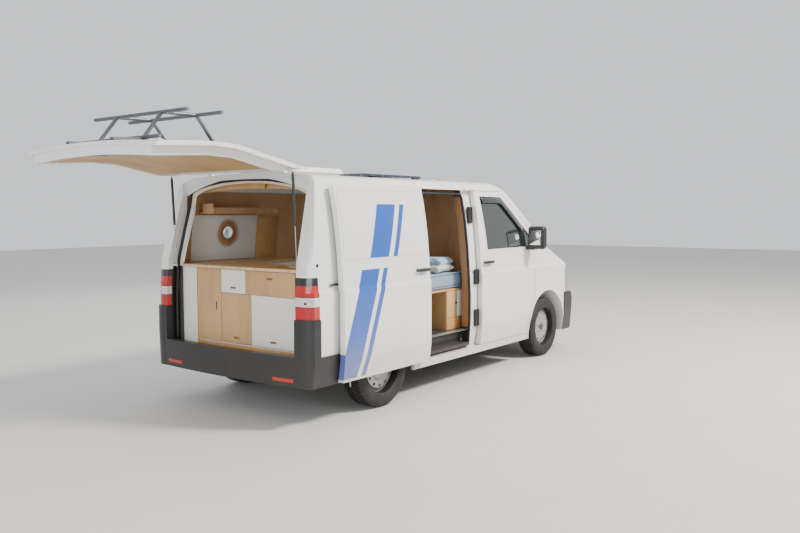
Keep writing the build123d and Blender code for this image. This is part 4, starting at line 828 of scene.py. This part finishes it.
class CAMPER_OT_finishes(bpy.types.Operator):
    """Give every solid of the van its finish."""

    bl_idname = "camper.finishes"
    bl_label = "Finishes"

    def execute(self, context):
        finish = context.scene.camper_finish
        make_groups()
        white = tuple(finish.white)
        birch = tuple(finish.birch)
        dark_birch = tuple(v * f for v, f in zip(birch, (0.82, 0.76, 0.68)))
        # The finger slots lie in this box, behind the faces of the kitchen's fronts; the slots and
        # the fronts' edges inside it get painted shade
        slot_shade_box = ((-1.6812, -0.66, 0.54), (-1.6675, 0.54, 1.19))
        slots = {
            "paint": body_paint("Body paint", white),
            "underbody": metal("Underbody coat", (0.07, 0.07, 0.07), 0.6, metallic=0.0, dust=0.5),
            "black_metal": metal("Black chassis paint", (0.02, 0.02, 0.02), 0.45, metallic=0.0),
            "bright_steel": metal("Bright steel", (0.52, 0.52, 0.50), 0.25, dust=0.2),
            "wheel_steel": metal("Wheel silver", (0.46, 0.47, 0.48), 0.3, metallic=0.65, dust=0.25),
            "alloy": metal("Carrier alloy", (0.17, 0.18, 0.20), 0.38, brushed=(1, 12, 1)),
            "cast": metal("Cast iron", (0.09, 0.085, 0.08), 0.6, metallic=0.7),
            "window": window_glass("Tinted glass", tuple(finish.glass_tint), 0.86),
            "hatch_plastic": plastic("Hatch plastic", (0.74, 0.74, 0.71), 0.35, 600.0),
            "solar": solar_cells("Solar cells"),
            "black_plastic": plastic("Black plastic", (0.009, 0.009, 0.010), 0.42, dust=0.06),
            "dark_plastic": plastic("Dark plastic", (0.045, 0.045, 0.05), 0.5),
            "lamp_clear": clear_lens("Head lamp lens"),
            "lamp_red": lamp_lens("Tail lamp lens"),
            "tyre": rubber("Tyre rubber", (0.010, 0.010, 0.011), 0.7, 0.55),
            "birch": boards("Birch boards", birch, dark_birch, slot_shade=slot_shade_box),
            # Wall lining: birch, its darker tone partly painted shade
            "dark_wood": boards("Wall boards with painted shade", (0.46, 0.27, 0.13), (0.36, 0.20, 0.09), 0.5),
            "white_board": painted_board("White boards", (0.78, 0.755, 0.68), slot_shade_box),
            "seat_cloth": cloth("Cab cloth", (0.03, 0.032, 0.036)),
            "blue_cloth": cloth("Blue cloth", (0.20, 0.31, 0.46)),
        }
        # Finishes of the added pieces, found again by name
        rubber("Seal rubber", (0.008, 0.008, 0.009), 0.6, 0.2)
        cloth("White cloth", (0.66, 0.65, 0.62))
        cloth("Pale blue cloth", (0.36, 0.50, 0.66))
        boards("Honey boards", (0.50, 0.27, 0.095), (0.38, 0.19, 0.06))
        boards("Worktop edge", (0.66, 0.47, 0.27), (0.50, 0.33, 0.17), scale=6.0)
        boards("Partition boards", (0.30, 0.155, 0.07), (0.22, 0.11, 0.045), 0.5, 1.6)
        boards("Rattan", (0.42, 0.22, 0.09), (0.27, 0.13, 0.05), 0.55, 9.0)
        painted_board("Cream trim", (0.72, 0.64, 0.50))
        metal("Brass", (0.55, 0.36, 0.10), 0.3, dust=0.1)
        metal("Mirror glass", (0.80, 0.84, 0.86), 0.0, dust=0.06)
        plastic("Red reflector", (0.42, 0.008, 0.010), 0.12, 260.0, 0.001)
        plastic("Blank plate", (0.72, 0.72, 0.69), 0.4, 300.0, 0.0002)
        window_glass("Smoked plastic", (0.012, 0.013, 0.016), 0.78)
        for name, piece in NODES.items():
            for index, old in enumerate(piece.data.materials):
                key = old.name.split(".")[0] if old else "paint"
                piece.data.materials[index] = slots.get(key, slots["paint"])
        # Handles and the tail flange are black by place; the doorway's front face is black for its
        # seal and as painted shade
        foot, head = HANDLE_Z - HANDLE_HALF, HANDLE_Z + HANDLE_HALF
        own = {
            "sliding_door": body_paint("Door paint", white, bands=True, black=(
                (-0.536, -1.04, foot), (-0.36, -0.9985, head))),
            "cab_door_left": body_paint("Left door paint", white, black=(
                (0.718, 0.9265, foot), (0.894, 0.97, head))),
            "cab_door_right": body_paint("Right door paint", white, black=(
                (0.718, -0.97, foot), (0.894, -0.9265, head))),
            # The pillar's face: black for the seal strip and, beyond it, painted shade
            "side_right": body_paint("Right side paint", white, black=(
                (0.512, -0.95, 0.35), (0.5225, -0.6, 1.90))),
            "floor": plastic("Floor mat", (0.018, 0.018, 0.020), 0.6, 500.0, 0.0008, 0.08),
            "rear_bumper": plastic("Bumper plastic", (0.011, 0.012, 0.014), 0.42, 700.0, dust=0.05),
            "front_bumper": plastic("Front bumper plastic", (0.014, 0.015, 0.017), 0.42, 700.0,
                                    dust=0.05),
            "rear_frame": body_paint("Frame paint", white, dust_level=0.3, black=(
                (-1.80, -0.9, 0.42), (-1.5, 0.9, 1.195))),
        }
        for name, material in own.items():
            NODES[name].data.materials[0] = material
        return {"FINISHED"}


class CAMPER_OT_seals(bpy.types.Operator):
    """Lay the rubber seals round the openings and the glass."""

    bl_idname = "camper.seals"
    bl_label = "Seals"

    def execute(self, context):
        radius = context.scene.camper_trim.seal / 2
        # Tail opening. Columns: y, z, from the left foot up to beside the middle
        half = [(0.757, 0.56), (0.757, 0.9), (0.757, 1.19), (0.756, 1.25), (0.749, 1.5),
                (0.744, 1.62), (0.738, 1.72), (0.728, 1.80), (0.712, 1.835), (0.685, 1.851),
                (0.64, 1.866), (0.60, 1.878), (0.53, 1.893), (0.46, 1.906), (0.30, 1.926),
                (0.15, 1.934)]
        ring = half + [(0, 1.937)] + [(-y, z) for y, z in half[::-1]]

        def seat(y, z):
            """X of the seal's middle: on the flange below, on the roof's lip above."""
            lip = min(1.0, max(0.0, (z - 1.70) / 0.13))
            return (tail_x(y, z) + 0.090) * (1 - lip) - 1.581 * lip

        settle(tube([(seat(y, z), y, z) for y, z in ring], radius), "tail_opening_seal",
               "Seal rubber")
        upper = [(y, z) for y, z in ring if z > 1.2]
        rows = [[(seat(y, z) + ahead, y * share, z - drop) for y, z in upper]
                for ahead, share, drop in ((0.009, 0.99, 0.008), (0.022, 0.94, 0.030))]
        settle(panel(rows, 0.004), "tail_opening_trim", "Cream trim")
        # Cab doors' glass: x, z
        ring = walked([(0.822, 1.281), (0.776, 1.812), (1.196, 1.809), (1.737, 1.391),
                       (1.737, 1.281)], 6)
        for side, name in SIDES:
            settle(tube([(x, side * (wide(z) - 0.003), z) for x, z in ring], 0.0048, True),
                   f"glass_seal_{name}", "Seal rubber", f"cab_door_{name}")
        # Windscreen: y, z
        ring = walked([(0.775, 1.297), (0.694, 1.876), (-0.694, 1.876), (-0.775, 1.297)], 12)
        settle(tube([(screen_x(y, z) + 0.001, y, z) for y, z in ring], 0.006, True),
               "windscreen_seal", "Seal rubber")
        # Doorway of the sliding door, on the inner flange: x, z
        corners = [(0.515, 0.36), (0.515, 1.80), (0.49, 1.835), (-0.45, 1.835), (-0.484, 1.80),
                   (-0.484, 0.9)]
        line = walked(corners, 6, closed=False) + corners[-1:]
        settle(tube([(x, -(wide(z) - 0.047), z) for x, z in line], radius), "doorway_seal",
               "Seal rubber")
        return {"FINISHED"}


class CAMPER_OT_doorway(bpy.types.Operator):
    """Fit the side doorway's catches, strips, board and arm, and the doors' key locks."""

    bl_idname = "camper.doorway"
    bl_label = "Doorway"

    def execute(self, context):
        # columns: x from, x to, y from, y to, z from, z to
        for index, (x0, x1, y0, y1, z0, z1) in enumerate((
                (0.566, 0.632, -0.852, -0.818, 1.545, 1.71),
                (0.598, 0.668, -0.912, -0.882, 0.938, 1.087),
                (0.602, 0.668, -0.912, -0.885, 0.516, 0.686))):
            catch = stepped(block((x0, y0, z0), (x1, y1, z1), 0.006, 3),
                            lambda spot, normal: normal.y < -0.9, 0.012, (0, 0.008, 0))
            settle(catch, f"door_catch_{index + 1}", "Black plastic")
        strips = [block((-0.49, y, 0.4955), (0.508, y + 0.024, 0.5015), 0.002)
                  for y in (-0.876, -0.830)]
        settle(joined(strips), "sill_grips", "Bright steel")
        # Key locks under the handles: x, y, z, body
        for name, x, y, z, body in (("slide", -0.448, -1.0, 1.118, "van"),
                                    ("left", 0.806, 0.926, 1.118, "cab_door_left"),
                                    ("right", 0.806, -0.926, 1.118, "cab_door_right")):
            axis = (0, math.copysign(1, y), 0)
            settle(disc((x, y, z), axis, 0.0085, 0.007, 20, 0.001, -0.0015),
                   f"key_lock_{name}", "Bright steel", body)
        # Board over the inner part of the pillar's face
        rows = [[(0.5145, share - wide(z), z) for share in (0.052, 0.095, 0.138)]
                for z in evenly(0.52, 1.29, 8)]
        settle(panel(rows, 0.004), "pillar_board", "Partition boards")
        # Plug above the right tail lamp, and the arm between the side and the open door
        settle(disc((-1.708, -0.9160, 1.256), (0, -1, 0), 0.013, 0.010, 20, 0.002),
               "side_plug", "Black plastic")
        arm = block((-1.585, -0.948, 1.088), (-1.450, -0.926, 1.114), 0.003)
        nudge(arm, lambda spot, normal: spot.x < -1.575, (1, 0.8, 0.35),
              about=(-1.585, -0.93, 1.100))
        settle(arm, "slide_arm", "Black plastic")
        return {"FINISHED"}


class CAMPER_OT_cabin(bpy.types.Operator):
    """Fit the boards, the round mirror and the kitchen's trim."""

    bl_idname = "camper.cabin"
    bl_label = "Cabin boards and mirror"

    def execute(self, context):
        # columns: name, x from, x to, z low, z high, material, slot
        for name, x0, x1, low, high, finish, kind in (
                ("wall_board_white", -1.50, -0.716, 1.216, 1.636, "White boards", "white_board"),
                ("wall_board_birch", -0.710, -0.437, 1.216, 1.622, "Honey boards", "birch")):
            rows = [[(x, wide(z) - 0.0695, z) for x in (x0, (x0 + x1) / 2, x1)]
                    for z in evenly(low, high - low, 6)]
            settle(panel(rows, 0.005), name, finish)
        # Header board over the opening and the soffit behind it, arched alike, with a catch
        half, arch = 0.655, 0.024
        shares = [step / 6 - 1 for step in range(13)]
        rows = []
        for drop in (0.050, 0.0):
            rows.append([])
            for y in [half * share for share in shares]:
                z = 1.914 - arch * (y / half) ** 2 - drop
                rows[-1].append((tail_x(y, z) + 0.141, y, z))
        settle(panel(rows, 0.012), "header_board", "Birch boards")
        rows = [[(ahead, half * share, 1.863 - arch * share ** 2) for share in shares]
                for ahead in (-1.520, -1.410)]
        settle(panel(rows, 0.006), "header_soffit", "Birch boards")
        catch = stepped(block((-1.556, -0.196, 1.868), (-1.536, -0.168, 1.902), 0.003),
                        lambda spot, normal: normal.z < -0.9, 0.004, (0, 0, -0.012))
        settle(catch, "header_catch", "Brass")
        # Partition behind the cab seats
        rows = []
        for z in evenly(0.50, 1.395, 8):
            reach = min(wide(z) - 0.078, 0.835 - max(0.0, z - 1.80) * 1.6)
            rows.append([(0.672 + 0.002 * abs(t), reach * t / 3, z) for t in range(-3, 4)])
        settle(panel(rows, 0.016), "cab_partition", "Partition boards")
        settle(disc((-1.467, -0.42, 1.1955), (0, 0, 1), 0.028, 0.003, 28, 0.0008, -0.001),
               "sink_drain", "Bright steel")
        # Flat boards on the kitchen, and on the bed box in the doorway
        # columns: name, low corner, high corner, material, slot
        for name, low, high, finish, kind in (
                ("plinth", (-1.6795, -0.668, 0.4985), (-1.6675, 0.538, 0.5485), "Honey boards",
                 "birch"),
                ("kitchen_end", (-1.6815, -0.6865, 0.498), (-1.320, -0.6705, 1.1875),
                 "Honey boards", "birch"),
                ("worktop_edge", (-1.7005, -0.690, 1.1885), (-1.6942, 0.723, 1.2115),
                 "Worktop edge", "birch"),
                ("box_door", (0.312, -0.7565, 0.618), (0.492, -0.7495, 0.880), "Birch boards",
                 "birch"),
                ("box_panel", (0.498, -0.7565, 0.618), (0.622, -0.7495, 0.880), "White boards",
                 "white_board"),
                ("box_drawer", (0.312, -0.7565, 0.500), (0.622, -0.7495, 0.612), "Honey boards",
                 "birch")):
            settle(block(low, high, 0.0015), name, finish)
        settle(disc((0.468, -0.765, 0.76), (0, -1, 0), 0.009, 0.018, 20, 0.003), "box_knob",
               "Black plastic")
        self.round_mirror()
        return {"FINISHED"}

    def round_mirror(self):
        """A round glass in a rattan ring with two sets of rays."""
        seat = Matrix.Translation((-1.085, 0.8135, 1.472))
        turn = Vector((0, 0, 1)).rotation_difference(Vector((0, -0.993, -0.118)))
        lay = seat @ turn.to_matrix().to_4x4()
        rays = []
        root = 0.058
        # columns: outer radius, turn of the first ray
        for reach, first in ((0.138, 0.0), (0.118, math.radians(5))):
            deselect()
            length = reach - root
            bpy.ops.mesh.primitive_cone_add(vertices=6, radius1=0.0042, radius2=0.0022,
                                            depth=length)
            ray = stepped(bpy.context.object, lambda spot, normal: normal.z > 0.9, 0.001,
                          (0, 0, 0.002))
            ray.matrix_world = (Matrix.Rotation(first, 4, "Z")
                                @ Matrix.Translation((root + length / 2, 0, 0))
                                @ Matrix.Rotation(math.pi / 2, 4, "Y"))
            edit(apply_place(ray), True)
            bpy.ops.mesh.spin(steps=36, dupli=True, angle=math.tau, center=(0, 0, 0),
                              axis=(0, 0, 1))
            leave()
            rays.append(ray)
        deselect()
        bpy.ops.mesh.primitive_torus_add(major_segments=48, minor_segments=10,
                                         major_radius=0.064, minor_radius=0.007)
        rays.append(bpy.context.object)
        burst = joined(rays)
        burst.matrix_world = lay
        settle(burst, "round_mirror_rays", "Rattan")
        glass = disc((0, 0, 0), (0, 0, 1), 0.060, 0.006, 48, 0.0015, -0.0008)
        glass.matrix_world = lay
        settle(glass, "round_mirror_glass", "Mirror glass")


class CAMPER_OT_outside(bpy.types.Operator):
    """Fit the mirror glass, deflectors, wipers, reflectors, plates and roof fittings."""

    bl_idname = "camper.outside"
    bl_label = "Outside trim"

    def execute(self, context):
        for side, name in SIDES:
            body = f"cab_door_{name}"
            y0, y1 = sorted((side * 0.962, side * 1.102))
            settle(block((1.6222, y0, 1.298), (1.6258, y1, 1.456), 0.0012), f"mirror_glass_{name}",
                   "Mirror glass", body)
            outer = [(0.79, 1.806), (0.93, 1.808), (1.07, 1.808), (1.193, 1.804), (1.33, 1.698),
                     (1.47, 1.590), (1.60, 1.489)]
            inner = [(0.80, 1.748), (0.93, 1.750), (1.06, 1.750), (1.166, 1.744), (1.29, 1.648),
                     (1.43, 1.540), (1.555, 1.443)]
            rows = [[(x, side * (wide(z) + off), z) for x, z in line]
                    for line, off in ((inner, 0.017), (outer, 0.005))]
            settle(panel(rows, 0.003), f"wind_deflector_{name}", "Smoked plastic", body)
            # Reflector low in the bumper's corner
            rows = [[(tail_x(out, z) - 0.0145, side * out, z) for out in evenly(0.555, 0.21, 6)]
                    for z in (0.353, 0.381)]
            settle(panel(rows, 0.005), f"reflector_{name}", "Red reflector")
            # Roof plugs over the rack fixings
            for station in (0.168, 0.748):
                settle(disc((station, side * 0.69, 1.9775), (0, 0, 1), 0.012, 0.004, 16, 0.001),
                       f"rack_plug_{name}_{int(station * 1000)}", "Black plastic")
        # Blank plates: tail, then nose
        rows = [[(tail_x(y, z) - 0.006, y, z) for y in PLATE_ROW] for z in (0.82, 0.93)]
        settle(lift(panel(rows, 0.004)), "plate_rear", "Blank plate", "tailgate")
        rows = [[(screen_x(y, z) + 0.0165, y, z) for y in PLATE_ROW] for z in (0.40, 0.51)]
        settle(panel(rows, 0.003), "plate_front", "Blank plate")
        self.wipers()
        # Latch cover in the lining of the raised tailgate
        latch = stepped(block((-1.792, -0.039, 0.600), (-1.758, 0.039, 0.726), 0.006, 3),
                        lambda spot, normal: normal.x > 0.9, 0.014, (-0.012, 0, 0))
        settle(lift(latch), "latch_cover", "Black plastic", "tailgate")
        return {"FINISHED"}

    def wipers(self):
        """Two wipers on the screen and one on the tailgate's glass."""
        foot = 1.262
        # columns: name, pivot y, blade y from, blade y to
        for name, pivot, start, end in (("left", 0.66, 0.60, 0.06), ("right", 0.02, -0.04, -0.56)):
            blade = []
            for step, y in enumerate(evenly(start, end - start, 8)):
                z = 1.322 + 0.020 * math.sin(math.pi * step / 8)
                blade.append((screen_x(y, z) + 0.010, y, z))
            root = (screen_x(pivot, foot) - 0.004, pivot, foot)
            middle = blade[4]
            knee = tuple(a * 0.75 + b * 0.25 + c for a, b, c in zip(root, middle, (0.016, 0, 0.02)))
            arm = tube([root, knee, middle], 0.005)
            settle(joined([tube(blade, 0.0055), arm, disc(root, (0.5, 0, 0.86), 0.013, 0.03)]),
                   f"wiper_{name}", "Black plastic")
        blade = [(tail_x(y, 1.345) - 0.010, y, 1.345) for y in evenly(-0.03, -0.42, 8)]
        root = (tail_x(0, foot) - 0.012, 0.0, foot)
        arm = tube([root, (tail_x(-0.08, 1.30) - 0.022, -0.08, 1.305), blade[5]], 0.005)
        pieces = joined([tube(blade, 0.005), arm, disc(root, (-1, 0, 0), 0.016, 0.026)])
        settle(lift(pieces), "wiper_rear", "Black plastic", "tailgate")


class CAMPER_OT_wheels(bpy.types.Operator):
    """Spin treaded tyres over the plain ones and fit bolts, caps and valves."""

    bl_idname = "camper.wheels"
    bl_label = "Tyres and wheel fittings"

    def execute(self, context):
        trim = context.scene.camper_trim
        # columns: name, x, side
        for name, x, side in (("front_left", 2.118, 1), ("front_right", 2.118, -1),
                              ("rear_left", -0.882, 1), ("rear_right", -0.882, -1)):
            body = f"wheel_{name}"
            seat = Matrix.Translation((x, side * WHEEL_Y, AXLE_Z))
            tyre = self.tyre(trim.tread)
            tyre.matrix_world = seat
            settle(tyre, f"tread_tyre_{name}", "Tyre rubber", body, 30)
            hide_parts(f"tyre_{name}")
            bolts = []
            for step in range(5):
                angle = math.tau * step / 5 + 0.3
                spot = (x + 0.056 * math.cos(angle), side * (WHEEL_Y + 0.0475),
                        AXLE_Z + 0.056 * math.sin(angle))
                bolts.append(disc(spot, (0, side, 0), 0.0098, 0.013, 6, 0.0012, -0.002))
            settle(joined(bolts), f"wheel_bolts_{name}", "Bright steel", body)
            settle(disc((x, side * 0.8655, AXLE_Z), (0, side, 0), 0.0335, 0.011, 36, 0.003, 0.002),
                   f"hub_cap_{name}", "Dark plastic", body)
            valve = [(x + out, side * y, AXLE_Z)
                     for out, y in ((0.160, 0.862), (0.156, 0.874), (0.150, 0.888))]
            settle(tube(valve, 0.004), f"valve_{name}", "Seal rubber", body)
        return {"FINISHED"}

    def tyre(self, depth):
        """One tyre about the origin, its axis along Y, with grooves and shoulder blocks."""
        # columns: radius, distance from the middle
        half = [(0.2160, 0.086), (0.2215, 0.0905), (0.2285, 0.0925), (0.232, 0.0965),
                (0.256, 0.1005), (0.277, 0.1022), (0.296, 0.0995), (0.303, 0.0985),
                (0.3055, 0.0955), (0.314, 0.0930), (0.324, 0.0880), (0.3305, 0.0815),
                (0.3340, 0.0720), (0.3352, 0.0560), (0.3352 - depth, 0.0540),
                (0.3352 - depth, 0.0460), (0.3356, 0.0440), (0.3358, 0.0210),
                (0.3358 - depth, 0.0190), (0.3358 - depth, 0.0110), (0.3360, 0.0090)]
        rim = half + [(r, -w) for r, w in half[::-1]]
        deselect()
        bpy.ops.mesh.primitive_circle_add(vertices=len(rim), radius=0.1)
        piece = bpy.context.object
        for vertex, (radius, out) in zip(piece.data.vertices, rim):
            vertex.co = (0, out, radius)
        edit(piece, True)
        bpy.ops.mesh.spin(steps=TREAD_STEPS, angle=math.tau, center=(0, 0, 0), axis=(0, 1, 0))
        bpy.ops.mesh.select_all(action="SELECT")
        bpy.ops.mesh.remove_doubles(threshold=0.0001)
        bpy.ops.mesh.normals_make_consistent(inside=False)

        def gap(spot, normal):
            """Every third step across the shoulder, and staggered on the middle ribs."""
            turned = math.atan2(spot.x, spot.z) / math.tau
            step = math.floor(turned * TREAD_STEPS + 0.01) % 3
            out = abs(spot.y)
            reach = math.hypot(spot.x, spot.z)
            if reach < 0.329:
                return False
            if 0.0565 < out < 0.086:
                return step == 0
            return 0.0215 < out < 0.0435 and step == 1 and reach > 0.3345

        pick(gap)
        bpy.ops.mesh.extrude_region_move()
        bpy.ops.transform.shrink_fatten(value=-depth * 0.7)
        leave()
        return piece


class CAMPER_OT_bedding(bpy.types.Operator):
    """Make the mattress and the pillows swell as stuffed pieces."""

    bl_idname = "camper.bedding"
    bl_label = "Bedding"

    def execute(self, context):
        soft = context.scene.camper_soft
        bed = pad_form((-0.307, -0.195, 0.985), (1.862, 1.112, 0.140), (10, 6, 2), 0.03)
        puff(bed, 0.022, soft.pressure, 0.012)
        nudge(bed, lambda spot, normal: spot.z < 0.9035, (0, 0, 0.0015))
        settle(bed, "mattress_pad", "Blue cloth", smooth=60)
        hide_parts("mattress")
        for name, z in (("upper", 1.058), ("lower", 0.921)):
            ring = []
            # columns: a corner's middle x and y, degrees at its start
            for x, y, first in ((0.577, 0.312, 0), (-1.191, 0.312, 90), (-1.191, -0.702, 180),
                                (0.577, -0.702, 270)):
                for turn in range(first, first + 91, 15):
                    angle = math.radians(turn)
                    ring.append((x + 0.05 * math.cos(angle), y + 0.05 * math.sin(angle), z))
            settle(tube(ring, soft.piping / 2, True), f"mattress_piping_{name}", "Blue cloth")
        # columns: name, middle, size, turn in degrees, cap, material
        for name, middle, size, turn, cap, finish in (
                ("pillow_white", (0.335, -0.530, 1.106), (0.37, 0.41, 0.030), 8, 0.024,
                 "White cloth"),
                ("pillow_blue", (0.352, -0.515, 1.166), (0.37, 0.42, 0.034), 13, 0.028,
                 "Pale blue cloth"),
                ("pillow_far", (0.118, 0.060, 1.128), (0.36, 0.52, 0.046), -6, 0.036,
                 "Pale blue cloth")):
            corner = [side * 0.47 for side in size]
            pillow = nudge(pad_form((0, 0, 0), size, (6, 6, 1), 0.012),
                           lambda spot, normal: abs(spot.x) > corner[0] and abs(spot.y) > corner[1],
                           (1.05, 1.05, 0.35), about=(0, 0, 0))
            pillow.matrix_world = (Matrix.Translation(middle)
                                   @ Matrix.Rotation(math.radians(turn), 4, "Z"))
            puff(apply_place(pillow), 0.010, soft.pressure, cap)
            settle(pillow, name, finish, smooth=60)
            if name == "pillow_blue":
                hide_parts("pillows")
        return {"FINISHED"}


class CAMPER_OT_seats(bpy.types.Operator):
    """Make the two cab seats from swollen pads on plain frames."""

    bl_idname = "camper.seats"
    bl_label = "Cab seats"

    def execute(self, context):
        soft = context.scene.camper_soft
        for side, name in SIDES:
            y = side * 0.43
            base = pad_form((1.232, y, 0.802), (0.470, 0.450, 0.085), (5, 6, 1), 0.02)
            nudge(base, lambda spot, normal: abs(spot.y - y) > 0.15 and normal.z > 0.5,
                  (0, 0, 0.022), "FACE")
            nudge(base, lambda spot, normal: spot.x > 1.40, (0, 0, 0.018))
            puff(base, 0.012, soft.pressure, 0.016)
            settle(base, f"seat_cushion_{name}", "Cab cloth", smooth=60)

            back = pad_form((0, 0, 0), (0.080, 0.440, 0.520), (1, 6, 6), 0.02)
            nudge(back, lambda spot, normal: abs(spot.y) > 0.14 and normal.x > 0.5,
                  (0.026, 0, 0), "FACE")
            nudge(back, lambda spot, normal: spot.z > 0.17, (0.85, 0.82, 1), about=(0, 0, 0))
            back.matrix_world = (Matrix.Translation((0.948, y, 1.095))
                                 @ Matrix.Rotation(math.radians(-17), 4, "Y"))
            puff(apply_place(back), 0.012, soft.pressure, 0.014)
            settle(back, f"seat_back_{name}", "Cab cloth", smooth=60)

            head = pad_form((0.848, y, 1.518), (0.060, 0.215, 0.140), (1, 4, 3), 0.02)
            puff(head, 0.009, soft.pressure, 0.014)
            settle(head, f"head_rest_{name}", "Cab cloth", smooth=60)

            posts = [tube([(0.842, y + off, 1.335), (0.846, y + off, 1.40),
                           (0.848, y + off, 1.46)], 0.006) for off in (-0.06, 0.06)]
            settle(joined(posts), f"head_posts_{name}", "Bright steel")
            box = block((0.992, y - 0.198, 0.4955), (1.404, y + 0.198, 0.742), 0.02, 4)
            edit(box)
            pick(lambda spot, normal: abs(normal.y) > 0.9)
            bpy.ops.mesh.inset(thickness=0.04)
            bpy.ops.transform.resize(value=(1, 0.985, 1), center_override=(1.2, y, 0.6))
            leave()
            shell = settle(box, f"seat_box_{name}", "Dark plastic")
            if side > 0:
                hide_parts("cab_seats")
        return {"FINISHED"}


class CAMPER_OT_stage(bpy.types.Operator):
    """Set the floor, the lights and the camera."""

    bl_idname = "camper.stage"
    bl_label = "Stage"

    def execute(self, context):
        stage = context.scene.camper_stage
        deselect()
        bpy.ops.mesh.primitive_plane_add(size=60, location=(0, 0, 0))
        floor = context.object
        floor.name = "studio_floor"
        mat, tree, skin = new_material("Pale floor")
        link(tree, mix(tree, noise(tree, place(tree), 1.5, 4.0), (0.56, 0.55, 0.53),
                       (0.60, 0.59, 0.57)), skin.inputs["Base Color"])
        tune(skin, Roughness=0.75)
        floor.data.materials.append(mat)

        # columns: name, place, aim, width, height, watts, colour
        lights = (
            ("sun_side", (3.5, -8.5, 9.5), (0, 0, 1.0), 2.2, 2.2, 2700, (1.0, 0.94, 0.84)),
            ("rear_fill", (-11.0, -3.0, 3.4), (-1.0, 0, 1.1), 5.0, 3.5, 420, (0.95, 0.97, 1.0)),
            ("far_fill", (4.0, 9.0, 6.0), (0.5, 0, 1.0), 6.0, 6.0, 160, (0.95, 0.97, 1.0)),
            ("top_fill", (0.0, 0.0, 9.0), (0, 0, 0), 9.0, 9.0, 120, (1.0, 1.0, 1.0)),
        )
        for name, spot, aim, width, height, watts, colour in lights:
            deselect()
            bpy.ops.object.light_add(type="AREA", location=spot)
            light = context.object
            light.name = name
            light.data.shape = "RECTANGLE"
            light.data.size = width
            light.data.size_y = height
            light.data.energy = watts
            light.data.color = colour
            turn = (Vector(aim) - Vector(spot)).to_track_quat("-Z", "Y")
            light.rotation_euler = turn.to_euler()
        world = context.scene.world or bpy.data.worlds.new("Studio")
        context.scene.world = world
        world.use_nodes = True
        tune(world.node_tree.nodes["Background"], Color=(0.92, 0.94, 0.97, 1), Strength=1.0)

        deselect()
        bpy.ops.object.camera_add(location=tuple(stage.eye))
        camera = context.object
        camera.name = "photo_camera"
        camera.data.sensor_width = 36
        camera.data.lens = stage.lens
        ahead = Vector((math.cos(stage.elevation) * math.cos(stage.azimuth),
                        math.cos(stage.elevation) * math.sin(stage.azimuth),
                        math.sin(stage.elevation)))
        turn = ahead.to_track_quat("-Z", "Y").to_matrix()
        turn = turn @ Matrix.Rotation(stage.roll, 3, "Z")
        camera.rotation_euler = turn.to_euler()
        camera.data.clip_end = 200
        context.scene.camera = camera
        return {"FINISHED"}


class CAMPER_PT_panel(bpy.types.Panel):
    """Lists the camper's steps and settings."""

    bl_label = "Camper van"
    bl_idname = "CAMPER_PT_panel"
    bl_space_type = "VIEW_3D"
    bl_region_type = "UI"
    bl_category = "Camper"

    def draw(self, context):
        for owner in ("camper_finish", "camper_trim", "camper_soft", "camper_stage"):
            settings = getattr(context.scene, owner)
            for key in settings.__annotations__:
                self.layout.prop(settings, key)
        for step in STEPS:
            self.layout.operator(step.bl_idname)


STEPS = (
    CAMPER_OT_finishes,
    CAMPER_OT_seals,
    CAMPER_OT_doorway,
    CAMPER_OT_cabin,
    CAMPER_OT_outside,
    CAMPER_OT_wheels,
    CAMPER_OT_bedding,
    CAMPER_OT_seats,
    CAMPER_OT_stage,
)
SETTINGS = (
    ("camper_finish", CamperFinishSettings),
    ("camper_trim", CamperTrimSettings),
    ("camper_soft", CamperSoftSettings),
    ("camper_stage", CamperStageSettings),
)


def register():
    """Register the settings, the steps and the panel."""
    for owner, kind in SETTINGS:
        bpy.utils.register_class(kind)
        setattr(bpy.types.Scene, owner, PointerProperty(type=kind))
    for kind in STEPS + (CAMPER_PT_panel,):
        bpy.utils.register_class(kind)


def unregister():
    """Take the settings, the steps and the panel out again."""
    for kind in (CAMPER_PT_panel,) + STEPS[::-1]:
        bpy.utils.unregister_class(kind)
    for owner, kind in SETTINGS[::-1]:
        delattr(bpy.types.Scene, owner)
        bpy.utils.unregister_class(kind)


def main():
    """Run every step in order."""
    register()
    for step in STEPS:
        area, name = step.bl_idname.split(".")
        getattr(getattr(bpy.ops, area), name)()


if __name__ == "__main__":
    main()
